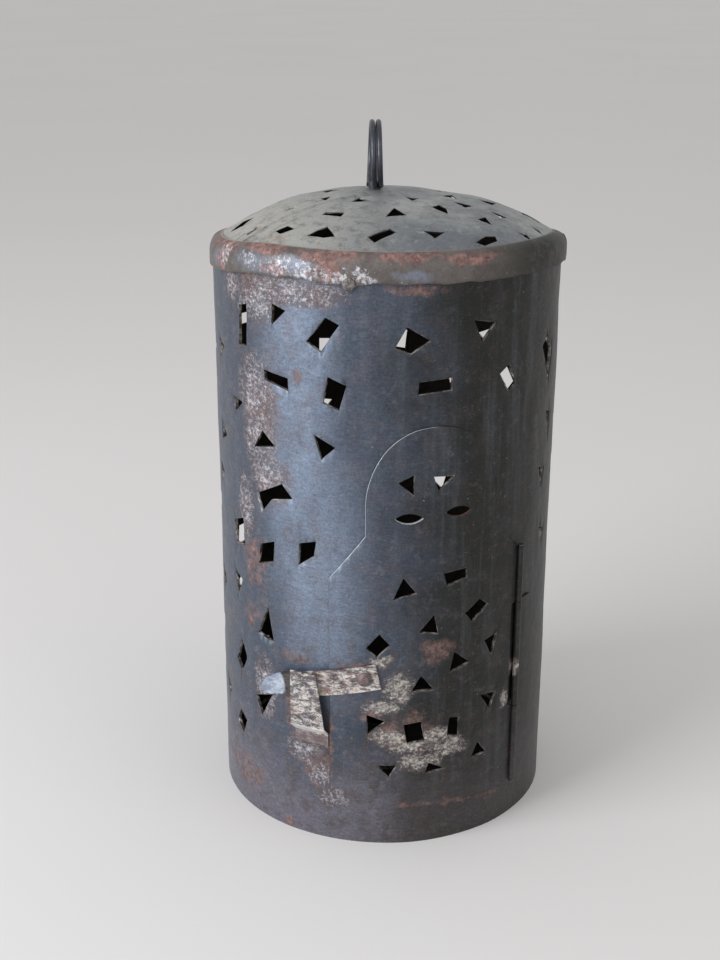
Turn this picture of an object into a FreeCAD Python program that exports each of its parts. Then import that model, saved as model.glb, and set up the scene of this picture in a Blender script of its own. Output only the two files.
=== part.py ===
"""Punched tin candle lantern: a rolled and pierced sheet drum with a base plate and a candle
socket, a shallow pierced dome held by a soldered band, an arched door on a wire hinge, a turn
latch behind a keeper, and a wire hanging ring. Millimetres, +Z up, origin at the bottom centre,
door facing -Y. Row angles are measured about +Z from -Y towards +X, in degrees."""

import math
import os
from types import SimpleNamespace

import FreeCAD, Part
import Sketcher

# The driving dimensions, in millimetres and degrees
driving = {
    # The drum
    "body_radius": 71,
    "body_height": 246.5,
    "tin": 0.6,
    "seam_lap": 7,
    "seam_angle": 177,
    "fit_gap": 0.05,
    "seat_gap": 0.3,
    "solder_width": 1.4,
    "solder_height": 0.5,
    "overrun": 5,
    "punch": 10,
    # The base plate and the candle socket
    "base_tin": 0.8,
    "base_flange": 6,
    "base_bend": 1.4,
    "socket_bore_radius": 11,
    "socket_height": 22,
    "socket_lap": 6,
    # The lid
    "dome_rise": 14,
    "dome_lap": 8,
    "dome_lap_angle": -80,
    "dome_lap_inset": 13,
    "band_drop": 9.5,
    "band_gap": 1,
    "band_tin": 0.8,
    "band_shoulder": 2.4,
    "band_lip": 0.7,
    "band_lap": 8,
    "band_lap_angle": 74,
    "tack_radius": 2.8,
    "tack_stand": 1.6,
    "tack_angle": -27,
    # The door
    "door_width": 83,
    "door_bottom": 17.5,
    "door_top": 182,
    "latch_side_top": 119,
    "hinge_side_top": 125,
    "shoulder_rise": 19,
    "shoulder_width": 54,
    "door_gap": 0.3,
    "door_lap": 6,
    "hinge_side_lap": 2,
    # The hinge
    "pin_radius": 0.7,
    "pin_clearance": 0.05,
    "pin_head_radius": 1.2,
    "pin_head": 0.6,
    "strap_bottom": 53.3,
    "strap_top": 100.5,
    "strap_leaf": 9,
    "notch_depth": 3.6,
    # The latch
    "pivot_inset": 14.5,
    "pivot_height": 77,
    "latch_reach": 33,
    "latch_tail": 5.5,
    "latch_width": 11,
    "latch_tip_width": 8,
    "latch_flattening": 12,
    "latch_slope": 12.7,
    "curl_radius": 15,
    "curl_sweep": 48,
    "rivet_radius": 1.5,
    "rivet_head_radius": 3,
    "rivet_head": 1.3,
    "burr_radius": 2.8,
    "burr_thickness": 0.7,
    "keeper_gap": 3.5,
    "keeper_width": 15,
    "keeper_narrowing": 5,
    "keeper_foot": 44,
    "keeper_bend": 49,
    "keeper_face": 52.5,
    "keeper_top": 77,
    "keeper_clear": 0.8,
    # The hanging ring
    "ring_radius": 12.5,
    "wire_radius": 1.05,
    "wire_gap": 0.45,
    "ring_aside": -4.9,
    "ring_behind": 1.4,
    "ring_turn": -15.5,
    "collar_radius": 2.6,
    "collar_height": 2.8,
    "foot_length": 5,
    "foot_gap": 0.5,
    "ring_clearance": 0.08,
}

doc = FreeCAD.newDocument("punched_tin_lantern")
sheet = doc.addObject("Spreadsheet::Sheet", "Sizes")
for row, (alias, value) in enumerate(driving.items(), start=1):
    sheet.set(f"A{row}", alias)
    sheet.set(f"B{row}", str(value))
    sheet.setAlias(f"B{row}", alias)


class Size:
    """A number together with the expression that ties it to the sheet."""

    def __init__(self, text, value):
        self.text = text
        self.value = value

    def __add__(self, other):
        return Size(f"({self.text} + {other.text})", self.value + other.value)

    def __sub__(self, other):
        return Size(f"({self.text} - {other.text})", self.value - other.value)

    def __mul__(self, times):
        times = times if isinstance(times, Size) else number(times)
        return Size(f"({self.text} * {times.text})", self.value * times.value)

    def __truediv__(self, by):
        by = by if isinstance(by, Size) else number(by)
        return Size(f"({self.text} / {by.text})", self.value / by.value)

    def __neg__(self):
        return Size(f"(0 - {self.text})", -self.value)


def number(value):
    return Size(repr(value), float(value))


def turns(share):
    """An angle in degrees, from its share of a full turn."""
    return number(share * math.degrees(2 * math.pi))


def root(square):
    return Size(f"sqrt({square.text})", math.sqrt(square.value))


def sine(angle):
    return Size(f"sin({angle.text})", math.sin(math.radians(angle.value)))


def cosine(angle):
    return Size(f"cos({angle.text})", math.cos(math.radians(angle.value)))


def arc_angle(length, radius):
    """The angle in degrees that an arc of this length takes at this radius."""
    turn = length / radius
    return Size(f"({turn.text} * 180 / pi)", math.degrees(turn.value))


size = SimpleNamespace(**{alias: Size(f"Sizes.{alias}", float(value)) for alias, value in driving.items()})
NOTHING = turns(0)
QUARTER = turns(1 / 4)
FULL = turns(1)

doc.recompute()

body_inner = size.body_radius - size.tin
door_inner = size.body_radius + size.door_gap
door_outer = door_inner + size.tin
barrel_inner = size.pin_radius + size.pin_clearance
barrel_outer = barrel_inner + size.tin
barrel_axis = door_outer + barrel_inner
half_door = size.door_width / 2
pivot_offset = half_door - size.pivot_inset
hinge_angle = arc_angle(half_door, size.body_radius)


def bind(item, **sizes):
    for name, size in sizes.items():
        item.setExpression(name, size.text)
    return item


def place(item, aside=NOTHING, depth=NOTHING, up=NOTHING, turn=NOTHING, about=FreeCAD.Vector(0, 0, 1)):
    """Bind an object's place, and its turn in degrees about one axis."""
    start = turn.value if turn.value else 1
    item.Placement = FreeCAD.Placement(FreeCAD.Vector(), FreeCAD.Rotation(about, start))
    item.setExpression("Placement.Base.x", aside.text)
    item.setExpression("Placement.Base.y", depth.text)
    item.setExpression("Placement.Base.z", up.text)
    item.setExpression("Placement.Rotation.Angle", turn.text)
    return item


def facing(row_angle):
    """The turn that brings something made on +X to a row angle."""
    return row_angle - QUARTER


def polar(radius, row_angle):
    """Where a row angle lies on a circle: across and along."""
    return radius * sine(row_angle), -(radius * cosine(row_angle))


def cylinder(name, radius, height, up=NOTHING, sweep=FULL, start=QUARTER, aside=NOTHING, depth=NOTHING):
    item = bind(doc.addObject("Part::Cylinder", name), Radius=radius, Height=height, Angle=sweep)
    return place(item, aside, depth, up, facing(start))


def cut(name, base, *tools):
    tool = tools[0] if len(tools) == 1 else fuse(name + "_tools", *tools)
    item = doc.addObject("Part::Cut", name)
    item.Base = base
    item.Tool = tool
    return item


def fuse(name, *shapes):
    item = doc.addObject("Part::MultiFuse", name)
    item.Shapes = list(shapes)
    return item


def common(name, *shapes):
    item = doc.addObject("Part::MultiCommon", name)
    item.Shapes = list(shapes)
    return item


def ring(name, inner, outer, height, up=NOTHING, sweep=FULL, start=QUARTER, aside=NOTHING, depth=NOTHING):
    """A tube wall, whole or over a sweep of degrees that starts at a row angle."""
    solid = cylinder(name + "_outside", outer, height, up, sweep, start, aside, depth)
    reach = height + size.overrun * 2
    hollow = cylinder(name + "_inside", inner, reach, up - size.overrun, aside=aside, depth=depth)
    return cut(name, solid, hollow)


def made(name, shape):
    item = doc.addObject("Part::Feature", name)
    item.Shape = shape
    return item


def turned(name, outline, plane="XZ_Plane", sweep=FULL):
    """A body turned from a sketched outline about the sketch's upright axis. An outline's corner
    is (across, up), or (across, up, centre across, centre up) where an arc leads to it."""
    body = doc.addObject("PartDesign::Body", name)
    sketch = body.newObject("Sketcher::SketchObject", name + "_sketch")
    base = [feature for feature in body.Origin.OriginFeatures if feature.Role == plane]
    sketch.AttachmentSupport = [(base[0], "")]
    sketch.MapMode = "FlatFace"
    corners = [FreeCAD.Vector(corner[0].value, corner[1].value, 0) for corner in outline]
    edges = []
    for index, corner in enumerate(outline):
        before = corners[index - 1]
        here = corners[index]
        if len(corner) == 4:
            centre = FreeCAD.Vector(corner[2].value, corner[3].value, 0)
            edges.append(sketch.addGeometry(quarter_arc(centre, before, here)))
        else:
            edges.append(sketch.addGeometry(Part.LineSegment(before, here)))
    for index, edge in enumerate(edges):
        tie(sketch, edge, edges[(index + 1) % len(edges)])
    for index, corner in enumerate(outline):
        end = arc_end(sketch, edges[index], corners[index])
        pin_down(sketch, "DistanceX", edges[index], end, corner[0])
        pin_down(sketch, "DistanceY", edges[index], end, corner[1])
        if len(corner) == 4:
            pin_down(sketch, "DistanceX", edges[index], 3, corner[2])
    revolution = body.newObject("PartDesign::Revolution", name + "_turning")
    revolution.Profile = sketch
    revolution.ReferenceAxis = (sketch, ["V_Axis"])
    revolution.setExpression("Angle", sweep.text)
    body.Tip = revolution
    return body


def quarter_arc(centre, before, after):
    """The shorter arc about a centre between two points, whichever way round it runs."""
    circle = Part.Circle(centre, FreeCAD.Vector(0, 0, 1), centre.distanceToPoint(before))
    first = circle.parameter(before)
    last = circle.parameter(after)
    if (last - first) % (2 * math.pi) > math.pi:
        first, last = last, first
    return Part.ArcOfCircle(circle, first, last if last > first else last + 2 * math.pi)


def arc_end(sketch, edge, corner):
    """Which end of an edge lies on a corner: 1 for its start, 2 for its end."""
    start = sketch.getPoint(edge, 1)
    return 1 if start.distanceToPoint(corner) < sketch.getPoint(edge, 2).distanceToPoint(corner) else 2


def tie(sketch, edge, after):
    """Join two edges at the ends that lie together."""
    ends = [(one, two) for one in (1, 2) for two in (1, 2)]
    nearest = min(ends, key=lambda pair: sketch.getPoint(edge, pair[0]).distanceToPoint(
        sketch.getPoint(after, pair[1])))
    sketch.addConstraint(Sketcher.Constraint("Coincident", edge, nearest[0], after, nearest[1]))


def pin_down(sketch, kind, edge, point, size):
    index = sketch.addConstraint(Sketcher.Constraint(kind, -1, 1, edge, point, size.value))
    sketch.setExpression(f"Constraints[{index}]", size.text)


# Pierced holes. A hole's corners are shares of the punch's length, across and up, about its middle.
square_shares = ((-0.45, 0.4), (0.35, 0.5), (0.45, -0.4), (-0.35, -0.5))
kite_shares = ((0.05, 0.65), (0.5, 0.05), (-0.05, -0.6), (-0.5, -0.05))
oblong_shares = ((-0.65, 0.2), (0.6, 0.3), (0.65, -0.2), (-0.6, -0.3))
upright_shares = ((-0.3, 0.65), (0.25, 0.7), (0.3, -0.65), (-0.25, -0.7))
wedge_shares = ((-0.4, 0.45), (0.5, 0.05), (-0.15, -0.5))
spire_shares = ((0.05, 0.6), (0.45, -0.35), (-0.45, -0.4))
dart_shares = ((0.45, 0.35), (-0.5, 0.15), (0.15, -0.55))
plain_shares = (square_shares, spire_shares, upright_shares, kite_shares, dart_shares, wedge_shares,
                oblong_shares)

# The drum's front and left, as punched: row angle, share of the drum's height, corners
front_hole_shares = (
    (-68, 0.872, ((-0.25, 0.75), (0.3, 0.9), (0.25, -0.8), (-0.3, -0.85))),
    (-52, 0.904, ((-0.2, 0.35), (0.45, 0.15), (-0.25, -0.5))),
    (-35.5, 0.881, ((0.1, 0.65), (0.65, 0.4), (-0.1, -0.7), (-0.7, -0.35))),
    (-8.5, 0.872, ((-0.15, 0.6), (0.75, 0.05), (0.0, -0.45), (-0.6, -0.2))),
    (15.5, 0.886, ((-0.45, 0.35), (0.55, 0.15), (-0.1, -0.55))),
    (49.5, 0.816, ((-0.05, 0.8), (0.5, 0.0), (0.15, -1.2), (-0.6, 0.4))),
    (-85.5, 0.817, ((-0.3, 0.4), (0.4, 0.1), (-0.2, -0.5))),
    (-52.5, 0.798, ((-0.65, 0.3), (0.6, 0.15), (0.6, -0.35), (-0.6, -0.1))),
    (-32, 0.789, ((-0.25, 0.65), (0.5, 0.35), (0.2, -0.65), (-0.45, -0.4))),
    (-0.5, 0.802, ((-0.65, 0.2), (0.65, 0.3), (0.65, -0.2), (-0.7, -0.3))),
    (26, 0.798, ((0.05, 0.6), (0.45, -0.3), (0.0, -0.55), (-0.5, 0.25))),
    (-72.5, 0.738, ((-0.3, 0.25), (0.45, 0.15), (-0.15, -0.4))),
    (-84.5, 0.674, ((-0.2, 0.45), (0.35, -0.1), (-0.3, -0.4))),
    (-58.5, 0.691, ((-0.05, 0.45), (0.65, -0.1), (-0.55, -0.35))),
    (-35.5, 0.7, ((-0.4, 0.5), (0.5, 0.05), (-0.1, -0.5))),
    (53, 0.697, ((-0.3, 0.5), (0.35, 0.3), (0.1, -0.55))),
    (-89, 0.598, ((-0.3, 0.35), (0.35, 0.0), (-0.2, -0.45))),
    (-55, 0.599, ((-0.9, 0.0), (0.5, 0.7), (1.05, 0.15), (-0.05, -0.1), (-0.6, -0.75))),
    (48.5, 0.609, ((-0.25, 0.4), (0.3, 0.2), (0.0, -0.5))),
    (-73, 0.515, ((-0.45, 0.4), (0.35, 0.7), (0.45, -0.5), (-0.35, -0.6))),
    (-58, 0.5, ((-0.35, 0.3), (0.45, 0.6), (0.4, -0.3), (-0.5, -0.6))),
    (-41.5, 0.521, ((-0.35, 0.3), (0.4, 0.5), (0.3, -0.15), (-0.4, -0.65))),
    (51.5, 0.5, ((-0.3, 0.35), (0.35, 0.1), (-0.05, -0.45))),
    (-75, 0.422, ((-0.3, 0.45), (0.4, 0.15), (-0.05, -0.6))),
    (-90.5, 0.396, ((-0.3, 0.4), (0.35, 0.1), (-0.1, -0.5))),
    (-58.5, 0.365, ((0.1, 0.95), (0.4, -0.6), (-0.55, -0.4))),
    (-74, 0.281, ((0.05, 0.9), (0.45, 0.1), (0.0, -0.7), (-0.5, -0.3))),
    (-61.5, 0.22, ((-0.5, 0.15), (0.6, 0.55), (-0.1, -0.7))),
    (-87.5, 0.192, ((-0.3, 0.35), (0.35, 0.05), (-0.1, -0.45))),
    (-75.5, 0.153, ((-0.1, 0.55), (0.45, 0.2), (0.1, -0.6), (-0.45, -0.1))),
)

# The rest of the drum, in rows from the top down: row angle, share of the drum's height
back_place_shares = (
    (67, 0.89), (83, 0.88), (101, 0.895), (118, 0.885), (136, 0.895), (153, 0.885),
    (170, 0.895), (187, 0.88), (204, 0.895), (221, 0.885), (238, 0.895), (255, 0.88),
    (69, 0.82), (86, 0.8), (105, 0.825), (143, 0.815), (161, 0.805), (178, 0.82),
    (196, 0.81), (213, 0.82), (229.5, 0.812), (246, 0.81), (261, 0.815),
    (66, 0.745), (97, 0.755), (111, 0.76), (123.5, 0.76), (141, 0.745), (159.5, 0.738),
    (173, 0.745), (188.5, 0.716), (206, 0.745), (222, 0.74), (240, 0.745), (256, 0.75),
    (68, 0.67), (81.5, 0.66), (97, 0.685), (113, 0.69), (137.5, 0.678), (155, 0.655),
    (171, 0.665), (199, 0.67), (219, 0.67), (236, 0.66), (252, 0.67),
    (66, 0.595), (82, 0.59), (98, 0.61), (113, 0.61), (128, 0.6), (147, 0.59),
    (166, 0.595), (189, 0.615), (206, 0.595), (223, 0.6), (241, 0.59), (256, 0.6),
    (73, 0.52), (89.5, 0.53), (105, 0.53), (120, 0.525), (137, 0.53), (156, 0.52),
    (174, 0.53), (195, 0.54), (212, 0.517), (229, 0.53), (246, 0.52), (261, 0.53),
    (66, 0.45), (79, 0.45), (99, 0.455), (114, 0.45), (128, 0.45), (142, 0.461),
    (164, 0.45), (180, 0.455), (196, 0.45), (224, 0.455), (250, 0.445), (260, 0.385),
    (74, 0.375), (92, 0.38), (108, 0.375), (124, 0.38), (141, 0.375), (162, 0.38),
    (176, 0.37), (193, 0.38), (211, 0.375), (233.5, 0.41), (249, 0.335),
    (66, 0.3), (83, 0.305), (99, 0.3), (116, 0.31), (133, 0.3), (150, 0.305),
    (168, 0.3), (185, 0.305), (205, 0.3), (219, 0.305), (234.5, 0.318), (261, 0.3),
    (74, 0.23), (91, 0.235), (108, 0.23), (128, 0.225), (142, 0.235), (160, 0.23),
    (177, 0.23), (194, 0.235), (211, 0.23), (228, 0.235), (246, 0.225), (262, 0.22),
    (66, 0.155), (83, 0.16), (100, 0.15), (117, 0.192), (134, 0.155), (151, 0.16),
    (168, 0.15), (185, 0.16), (202, 0.155), (220, 0.15), (240, 0.155), (253, 0.16),
)

# The door: share of its half width, share of its height, corners
door_hole_shares = (
    (-0.53, 0.447, ((0.05, 0.55), (0.5, 0.05), (-0.05, -0.5), (-0.5, -0.1))),
    (-0.255, 0.863, ((-0.45, 0.05), (0.2, 0.4), (0.2, -0.45))),
    (0.06, 0.867, ((-0.35, 0.2), (0.5, 0.15), (-0.15, -0.4))),
    (0.225, 0.619, ((-0.55, 0.2), (0.45, 0.3), (0.5, -0.15), (-0.4, -0.35))),
    (-0.285, 0.594, ((-0.05, 0.55), (0.5, -0.15), (-0.45, -0.4))),
    (0.458, 0.52, ((0.15, 0.45), (0.6, 0.1), (-0.2, -0.5), (-0.55, -0.05))),
    (-0.025, 0.494, ((0.15, 0.55), (0.35, -0.35), (-0.5, -0.2))),
    (0.647, 0.418, ((0.35, 0.4), (0.05, -0.6), (-0.35, 0.2))),
    (0.27, 0.388, ((-0.2, 0.5), (0.55, -0.1), (-0.4, -0.4))),
    (-0.1, 0.339, ((-0.05, 0.45), (0.5, -0.25), (-0.45, -0.25))),
    (0.64, 0.264, ((-0.45, 0.3), (0.4, 0.2), (0.1, -0.55))),
    (-0.17, 0.209, ((-0.45, 0.4), (0.3, 0.5), (0.45, -0.4), (-0.3, -0.5))),
    (0.235, 0.212, ((-0.2, 0.45), (0.25, 0.4), (0.25, -0.5), (-0.3, -0.35))),
    (0.533, 0.124, ((-0.05, 0.45), (0.45, -0.2), (-0.4, -0.25))),
    (0.027, 0.103, ((-0.2, 0.3), (0.55, -0.1), (-0.35, -0.2))),
    (-0.566, 0.237, ((-0.3, 0.4), (0.5, 0.1), (-0.25, -0.5))),
    (-0.428, 0.108, ((-0.45, 0.2), (0.4, 0.2), (0.05, -0.4))),
)
lens_place_shares = ((-0.25, 0.777), (0.23, 0.786))
lens_half_width_share = 0.57
lens_half_height_share = 0.22

# The dome's front: share of its radius, row angle, corners across and outwards
dome_hole_shares = (
    (0.84, -77.5, ((-0.35, 0.2), (-0.15, -0.3), (0.25, -0.25), (0.2, 0.3))),
    (0.8, -59.5, ((-0.35, 0.15), (-0.15, -0.3), (0.4, -0.15), (0.1, 0.3))),
    (0.8, -41, ((-0.6, 0.2), (-0.1, -0.55), (0.55, 0.1), (0.15, 0.25))),
    (0.775, -18, ((-0.55, 0.2), (0.25, -0.5), (0.55, -0.2), (-0.25, 0.55))),
    (0.56, -47.5, ((-0.4, 0.2), (-0.4, -0.1), (0.35, -0.3), (0.45, 0.15))),
    (0.6, -78, ((0.0, 0.35), (-0.2, -0.15), (0.2, -0.2))),
    (0.415, -72.5, ((-0.2, 0.1), (-0.05, -0.3), (0.25, 0.15))),
    (0.315, -43.5, ((-0.3, 0.3), (-0.25, -0.3), (0.5, -0.05))),
    (0.505, -11, ((-0.4, 0.35), (0.0, -0.55), (0.4, 0.25))),
    (0.26, 15, ((-0.15, -0.35), (0.35, 0.1), (-0.15, 0.3))),
    (0.47, 22.5, ((-0.25, -0.3), (0.2, -0.35), (0.2, 0.1), (-0.15, 0.6))),
    (0.49, 44.5, ((0.0, -0.5), (0.25, 0.3), (-0.3, 0.2))),
    (0.7, 46.5, ((0.15, -0.45), (0.1, 0.3), (-0.25, 0.15))),
    (0.7, 33, ((-0.2, -0.2), (0.3, -0.2), (-0.05, 0.4))),
    (0.78, 2.5, ((-0.35, -0.25), (0.45, -0.05), (-0.1, 0.35))),
    (0.875, 21.5, ((-0.6, 0.0), (0.05, -0.2), (0.5, -0.15), (0.4, 0.1), (-0.35, 0.25))),
    (0.9, 41, ((-0.15, -0.25), (0.15, -0.05), (-0.05, 0.35))),
    (0.89, 53, ((0.1, -0.3), (0.2, 0.0), (-0.1, 0.3))),
)

# The dome's back, in three rings: share of its radius, row angle
dome_back_shares = (
    (0.82, 72), (0.8, 91), (0.83, 110), (0.81, 129), (0.83, 148), (0.8, 167), (0.82, 186),
    (0.81, 205), (0.83, 224), (0.8, 243), (0.83, 262),
    (0.58, 69), (0.56, 93), (0.59, 118), (0.57, 143), (0.58, 168), (0.56, 193), (0.59, 218),
    (0.57, 243), (0.36, 62), (0.33, 97), (0.35, 135), (0.33, 175), (0.35, 215), (0.33, 252),
)
dome_back_size_share = 0.8
tack_count = 3


def polygon(corners):
    return Part.Face(Part.makePolygon(corners + corners[:1]))


def wall_point(radius, row_angle, across, up):
    """A point on the flat that touches a cylinder at a row angle."""
    angle = math.radians(row_angle)
    out = FreeCAD.Vector(math.sin(angle), -math.cos(angle), 0)
    side = FreeCAD.Vector(math.cos(angle), math.sin(angle), 0)
    return out * radius + side * across + FreeCAD.Vector(0, 0, up)


def wall_hole(radius, row_angle, middle, corners):
    """A pierced hole's cutter, square to the wall of a cylinder."""
    far = radius + size.overrun.value
    points = []
    for across_share, up_share in corners:
        up = middle + up_share * size.punch.value
        points.append(wall_point(far, row_angle, across_share * size.punch.value, up))
    return polygon(points).extrude(wall_point(-2 * size.overrun.value, row_angle, 0, 0))


def drum_holes():
    radius = size.body_radius.value
    tall = size.body_height.value
    holes = [wall_hole(radius, angle, share * tall, corners) for angle, share, corners in front_hole_shares]
    for index, (angle, share) in enumerate(back_place_shares):
        corners = plain_shares[index % len(plain_shares)]
        holes.append(wall_hole(radius, angle, share * tall, corners))
    return made("drum_holes", Part.makeCompound(holes))


def door_place(across_share, up_share):
    """A place on the door, from shares of its half width and of its height: row angle and height."""
    angle = across_share * hinge_angle.value
    return angle, size.door_bottom.value + up_share * (size.door_top.value - size.door_bottom.value)


def lens_hole(across_share, up_share):
    """A cutter with two bowed edges."""
    angle, middle = door_place(across_share, up_share)
    far = door_outer.value + size.overrun.value
    half_width = lens_half_width_share * size.punch.value
    half_height = lens_half_height_share * size.punch.value
    left = wall_point(far, angle, -half_width, middle)
    right = wall_point(far, angle, half_width, middle)
    over = Part.Arc(left, wall_point(far, angle, 0, middle + half_height), right)
    under = Part.Arc(right, wall_point(far, angle, 0, middle - half_height), left)
    face = Part.Face(Part.Wire([over.toShape(), under.toShape()]))
    return face.extrude(wall_point(-2 * size.overrun.value, angle, 0, 0))


def door_holes():
    holes = [lens_hole(across, up) for across, up in lens_place_shares]
    for across, up, corners in door_hole_shares:
        angle, middle = door_place(across, up)
        holes.append(wall_hole(door_outer.value, angle, middle, corners))
    return made("door_holes", Part.makeCompound(holes))


# The arched head of the door, right half: shares of the shoulder's half width, and of the rise
# from the shoulder to the top
head_shares = ((1.0, 0.32), (0.93, 0.54), (0.77, 0.745), (0.53, 0.9), (0.3, 0.975))


def door_outline(name, side_lap, hinge_lap, edge_lap, reach):
    """The door's outline as a block that cuts the drum's wall, drawn in by a lap on each side."""
    radius = size.body_radius.value
    half = half_door.value
    shoulder = size.shoulder_width.value / 2 - edge_lap
    low = size.door_bottom.value + edge_lap
    top = size.door_top.value - edge_lap
    left_top = size.latch_side_top.value - edge_lap / 2
    right_top = size.hinge_side_top.value - edge_lap / 2
    shoulder_up = size.latch_side_top.value + size.shoulder_rise.value - edge_lap / 2

    def point(along, up):
        return FreeCAD.Vector(reach * math.sin(along / radius), -reach - size.overrun.value, up)

    def head(side):
        spots = []
        for across_share, up_share in head_shares:
            up = shoulder_up + up_share * (top - shoulder_up)
            spots.append(point(side * shoulder * across_share, up))
        return spots

    right = head(1)
    left = head(-1)
    crown = point(0, top)
    right_waist = point(shoulder, shoulder_up)
    left_waist = point(-shoulder, shoulder_up)
    corners = [point(-half + side_lap, left_top), point(-half + side_lap, low)]
    ledge = barrel_outer.value + size.seat_gap.value
    corners += [point(half - hinge_lap, low), point(half - hinge_lap, right_top)]
    corners.append(point(half - hinge_lap - ledge, right_top))
    edges = [Part.LineSegment(one, two) for one, two in zip(corners, corners[1:])]
    edges += [
        Part.LineSegment(corners[-1], right_waist),
        Part.LineSegment(right_waist, right[0]),
        Part.Arc(right[0], right[1], right[2]),
        Part.Arc(right[2], right[3], right[4]),
        Part.Arc(right[4], crown, left[4]),
        Part.Arc(left[4], left[3], left[2]),
        Part.Arc(left[2], left[1], left[0]),
        Part.LineSegment(left[0], left_waist),
        Part.LineSegment(left_waist, corners[0]),
    ]
    face = Part.Face(Part.Wire([edge.toShape() for edge in edges]))
    return made(name, face.extrude(FreeCAD.Vector(0, reach + size.overrun.value, 0)))


def drum():
    """The rolled wall: one sheet, lapped at the back, with the door opening and its holes."""
    wall = cylinder("drum_wall", size.body_radius, size.body_height)
    lap_height = size.body_height - size.band_drop - size.seat_gap
    lap_sweep = arc_angle(size.seam_lap, size.body_radius)
    outer = size.body_radius + size.tin
    lapped = cylinder("drum_lap", outer, lap_height, sweep=lap_sweep, start=size.seam_angle)
    blank = fuse("drum_blank", wall, lapped)
    hollow = cylinder("drum_hollow", body_inner, size.body_height + size.overrun * 2, up=-size.overrun)
    radius = size.body_radius.value
    lap = size.door_lap.value
    opening = door_outline("door_opening", lap, size.hinge_side_lap.value, lap, radius)
    return cut("body_shell", blank, hollow, opening, drum_holes())


def seam_solder():
    """A flat bead of solder along the free edge of the drum's lap."""
    start = size.seam_angle + arc_angle(size.seam_lap + size.fit_gap, size.body_radius)
    height = size.body_height - size.band_drop - size.base_flange - size.overrun
    sweep = arc_angle(size.solder_width, size.body_radius)
    inner = size.body_radius + size.fit_gap
    outer = inner + size.solder_height
    return ring("side_seam_solder", inner, outer, height, size.base_flange, sweep, start)


def base_plate():
    """A disc with its rim bent up inside the wall."""
    rim = body_inner - size.fit_gap
    inside = rim - size.base_tin
    outline = (
        (NOTHING, NOTHING),
        (rim - size.base_bend, NOTHING),
        (rim, size.base_bend, rim - size.base_bend, size.base_bend),
        (rim, size.base_flange),
        (inside, size.base_flange),
        (inside, size.base_bend),
        (rim - size.base_bend, size.base_tin, rim - size.base_bend, size.base_bend),
        (NOTHING, size.base_tin),
    )
    return turned("base_plate", outline)


def base_solder():
    """The fillet of solder between the base plate's rim and the wall."""
    outer = body_inner - size.fit_gap / 2
    low = size.base_flange + size.fit_gap
    outline = ((outer, low), (outer, low + size.solder_width), (outer - size.base_tin, low))
    return turned("base_solder", outline)


def candle_socket():
    """A rolled tube with a lapped edge, standing on the base plate."""
    outer = size.socket_bore_radius + size.tin
    foot = size.base_tin + size.fit_gap
    tube = cylinder("socket_tube", outer, size.socket_height, foot)
    lap_sweep = arc_angle(size.socket_lap, outer)
    height = size.socket_height
    lap = cylinder("socket_lap_wall", outer + size.tin, height, foot, lap_sweep, size.seam_angle)
    blank = fuse("socket_blank", tube, lap)
    reach = height + size.overrun * 2
    bore = cylinder("socket_bore", size.socket_bore_radius, reach, foot - size.overrun)
    return cut("candle_socket", blank, bore)


def socket_solder():
    """The fillet of solder round the socket's foot."""
    inner = size.socket_bore_radius + size.tin * 2 + size.fit_gap
    low = size.base_tin + size.fit_gap
    outline = ((inner, low), (inner + size.solder_width, low), (inner, low + size.solder_width))
    return turned("socket_solder", outline)


# The dome is part of a sphere that rests on the wall's top edge.
dome_radius = (size.body_radius * size.body_radius + size.dome_rise * size.dome_rise) / (size.dome_rise * 2)
dome_inner = dome_radius - size.tin
rim_square = size.body_radius * size.body_radius
dome_centre = size.body_height + size.fit_gap - root(dome_inner * dome_inner - rim_square)
dome_rim_top = dome_centre + root(dome_radius * dome_radius - rim_square)


def sphere(name, radius, up):
    item = bind(doc.addObject("Part::Sphere", name), Radius=radius)
    return place(item, up=up)


def dome_holes():
    """Upright cutters for the dome's holes."""
    rim = size.body_radius.value
    low = size.body_height.value
    rise = FreeCAD.Vector(0, 0, size.dome_rise.value + 2 * size.overrun.value)

    def cutter(radius_share, angle, corners, scale):
        points = []
        for across_share, out_share in corners:
            radius = radius_share * rim + out_share * scale
            points.append(wall_point(radius, angle, across_share * scale, low - size.overrun.value))
        return polygon(points).extrude(rise)

    punch = size.punch.value
    holes = [cutter(radius, angle, corners, punch) for radius, angle, corners in dome_hole_shares]
    for index, (radius, angle) in enumerate(dome_back_shares):
        corners = plain_shares[index % len(plain_shares)]
        holes.append(cutter(radius, angle, corners, punch * dome_back_size_share))
    return made("dome_holes", Part.makeCompound(holes))


def lid_dome():
    ball = sphere("dome_ball", dome_radius, dome_centre)
    cap = cut("dome_cap", ball, sphere("dome_hollow", dome_inner, dome_centre))
    rim = cylinder("dome_rim", size.body_radius, size.dome_rise * 2, size.body_height)
    blank = common("dome_blank", cap, rim)
    over = dome_radius + size.tin
    lap_skin = cut("dome_lap_skin", sphere("dome_lap_ball", over, dome_centre),
                   sphere("dome_lap_under", dome_radius - size.tin / 2, dome_centre))
    length = size.body_radius - size.band_lip * 2 - size.dome_lap_inset
    strip = doc.addObject("Part::Box", "dome_lap_strip")
    bind(strip, Length=length, Width=size.dome_lap, Height=size.dome_rise * 2)
    near_across, near_along = polar(size.dome_lap_inset, size.dome_lap_angle)
    place(strip, near_across, near_along, size.body_height, facing(size.dome_lap_angle))
    lap = common("dome_lap_sheet", lap_skin, strip)
    stem_radius = size.wire_radius + size.ring_clearance
    reach = size.dome_rise + size.overrun * 2
    stem_hole = cylinder("stem_hole", stem_radius, reach, size.body_height, aside=size.ring_aside,
                         depth=size.ring_behind)
    return cut("lid_dome", fuse("dome_with_lap", blank, lap), dome_holes(), stem_hole)


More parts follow.
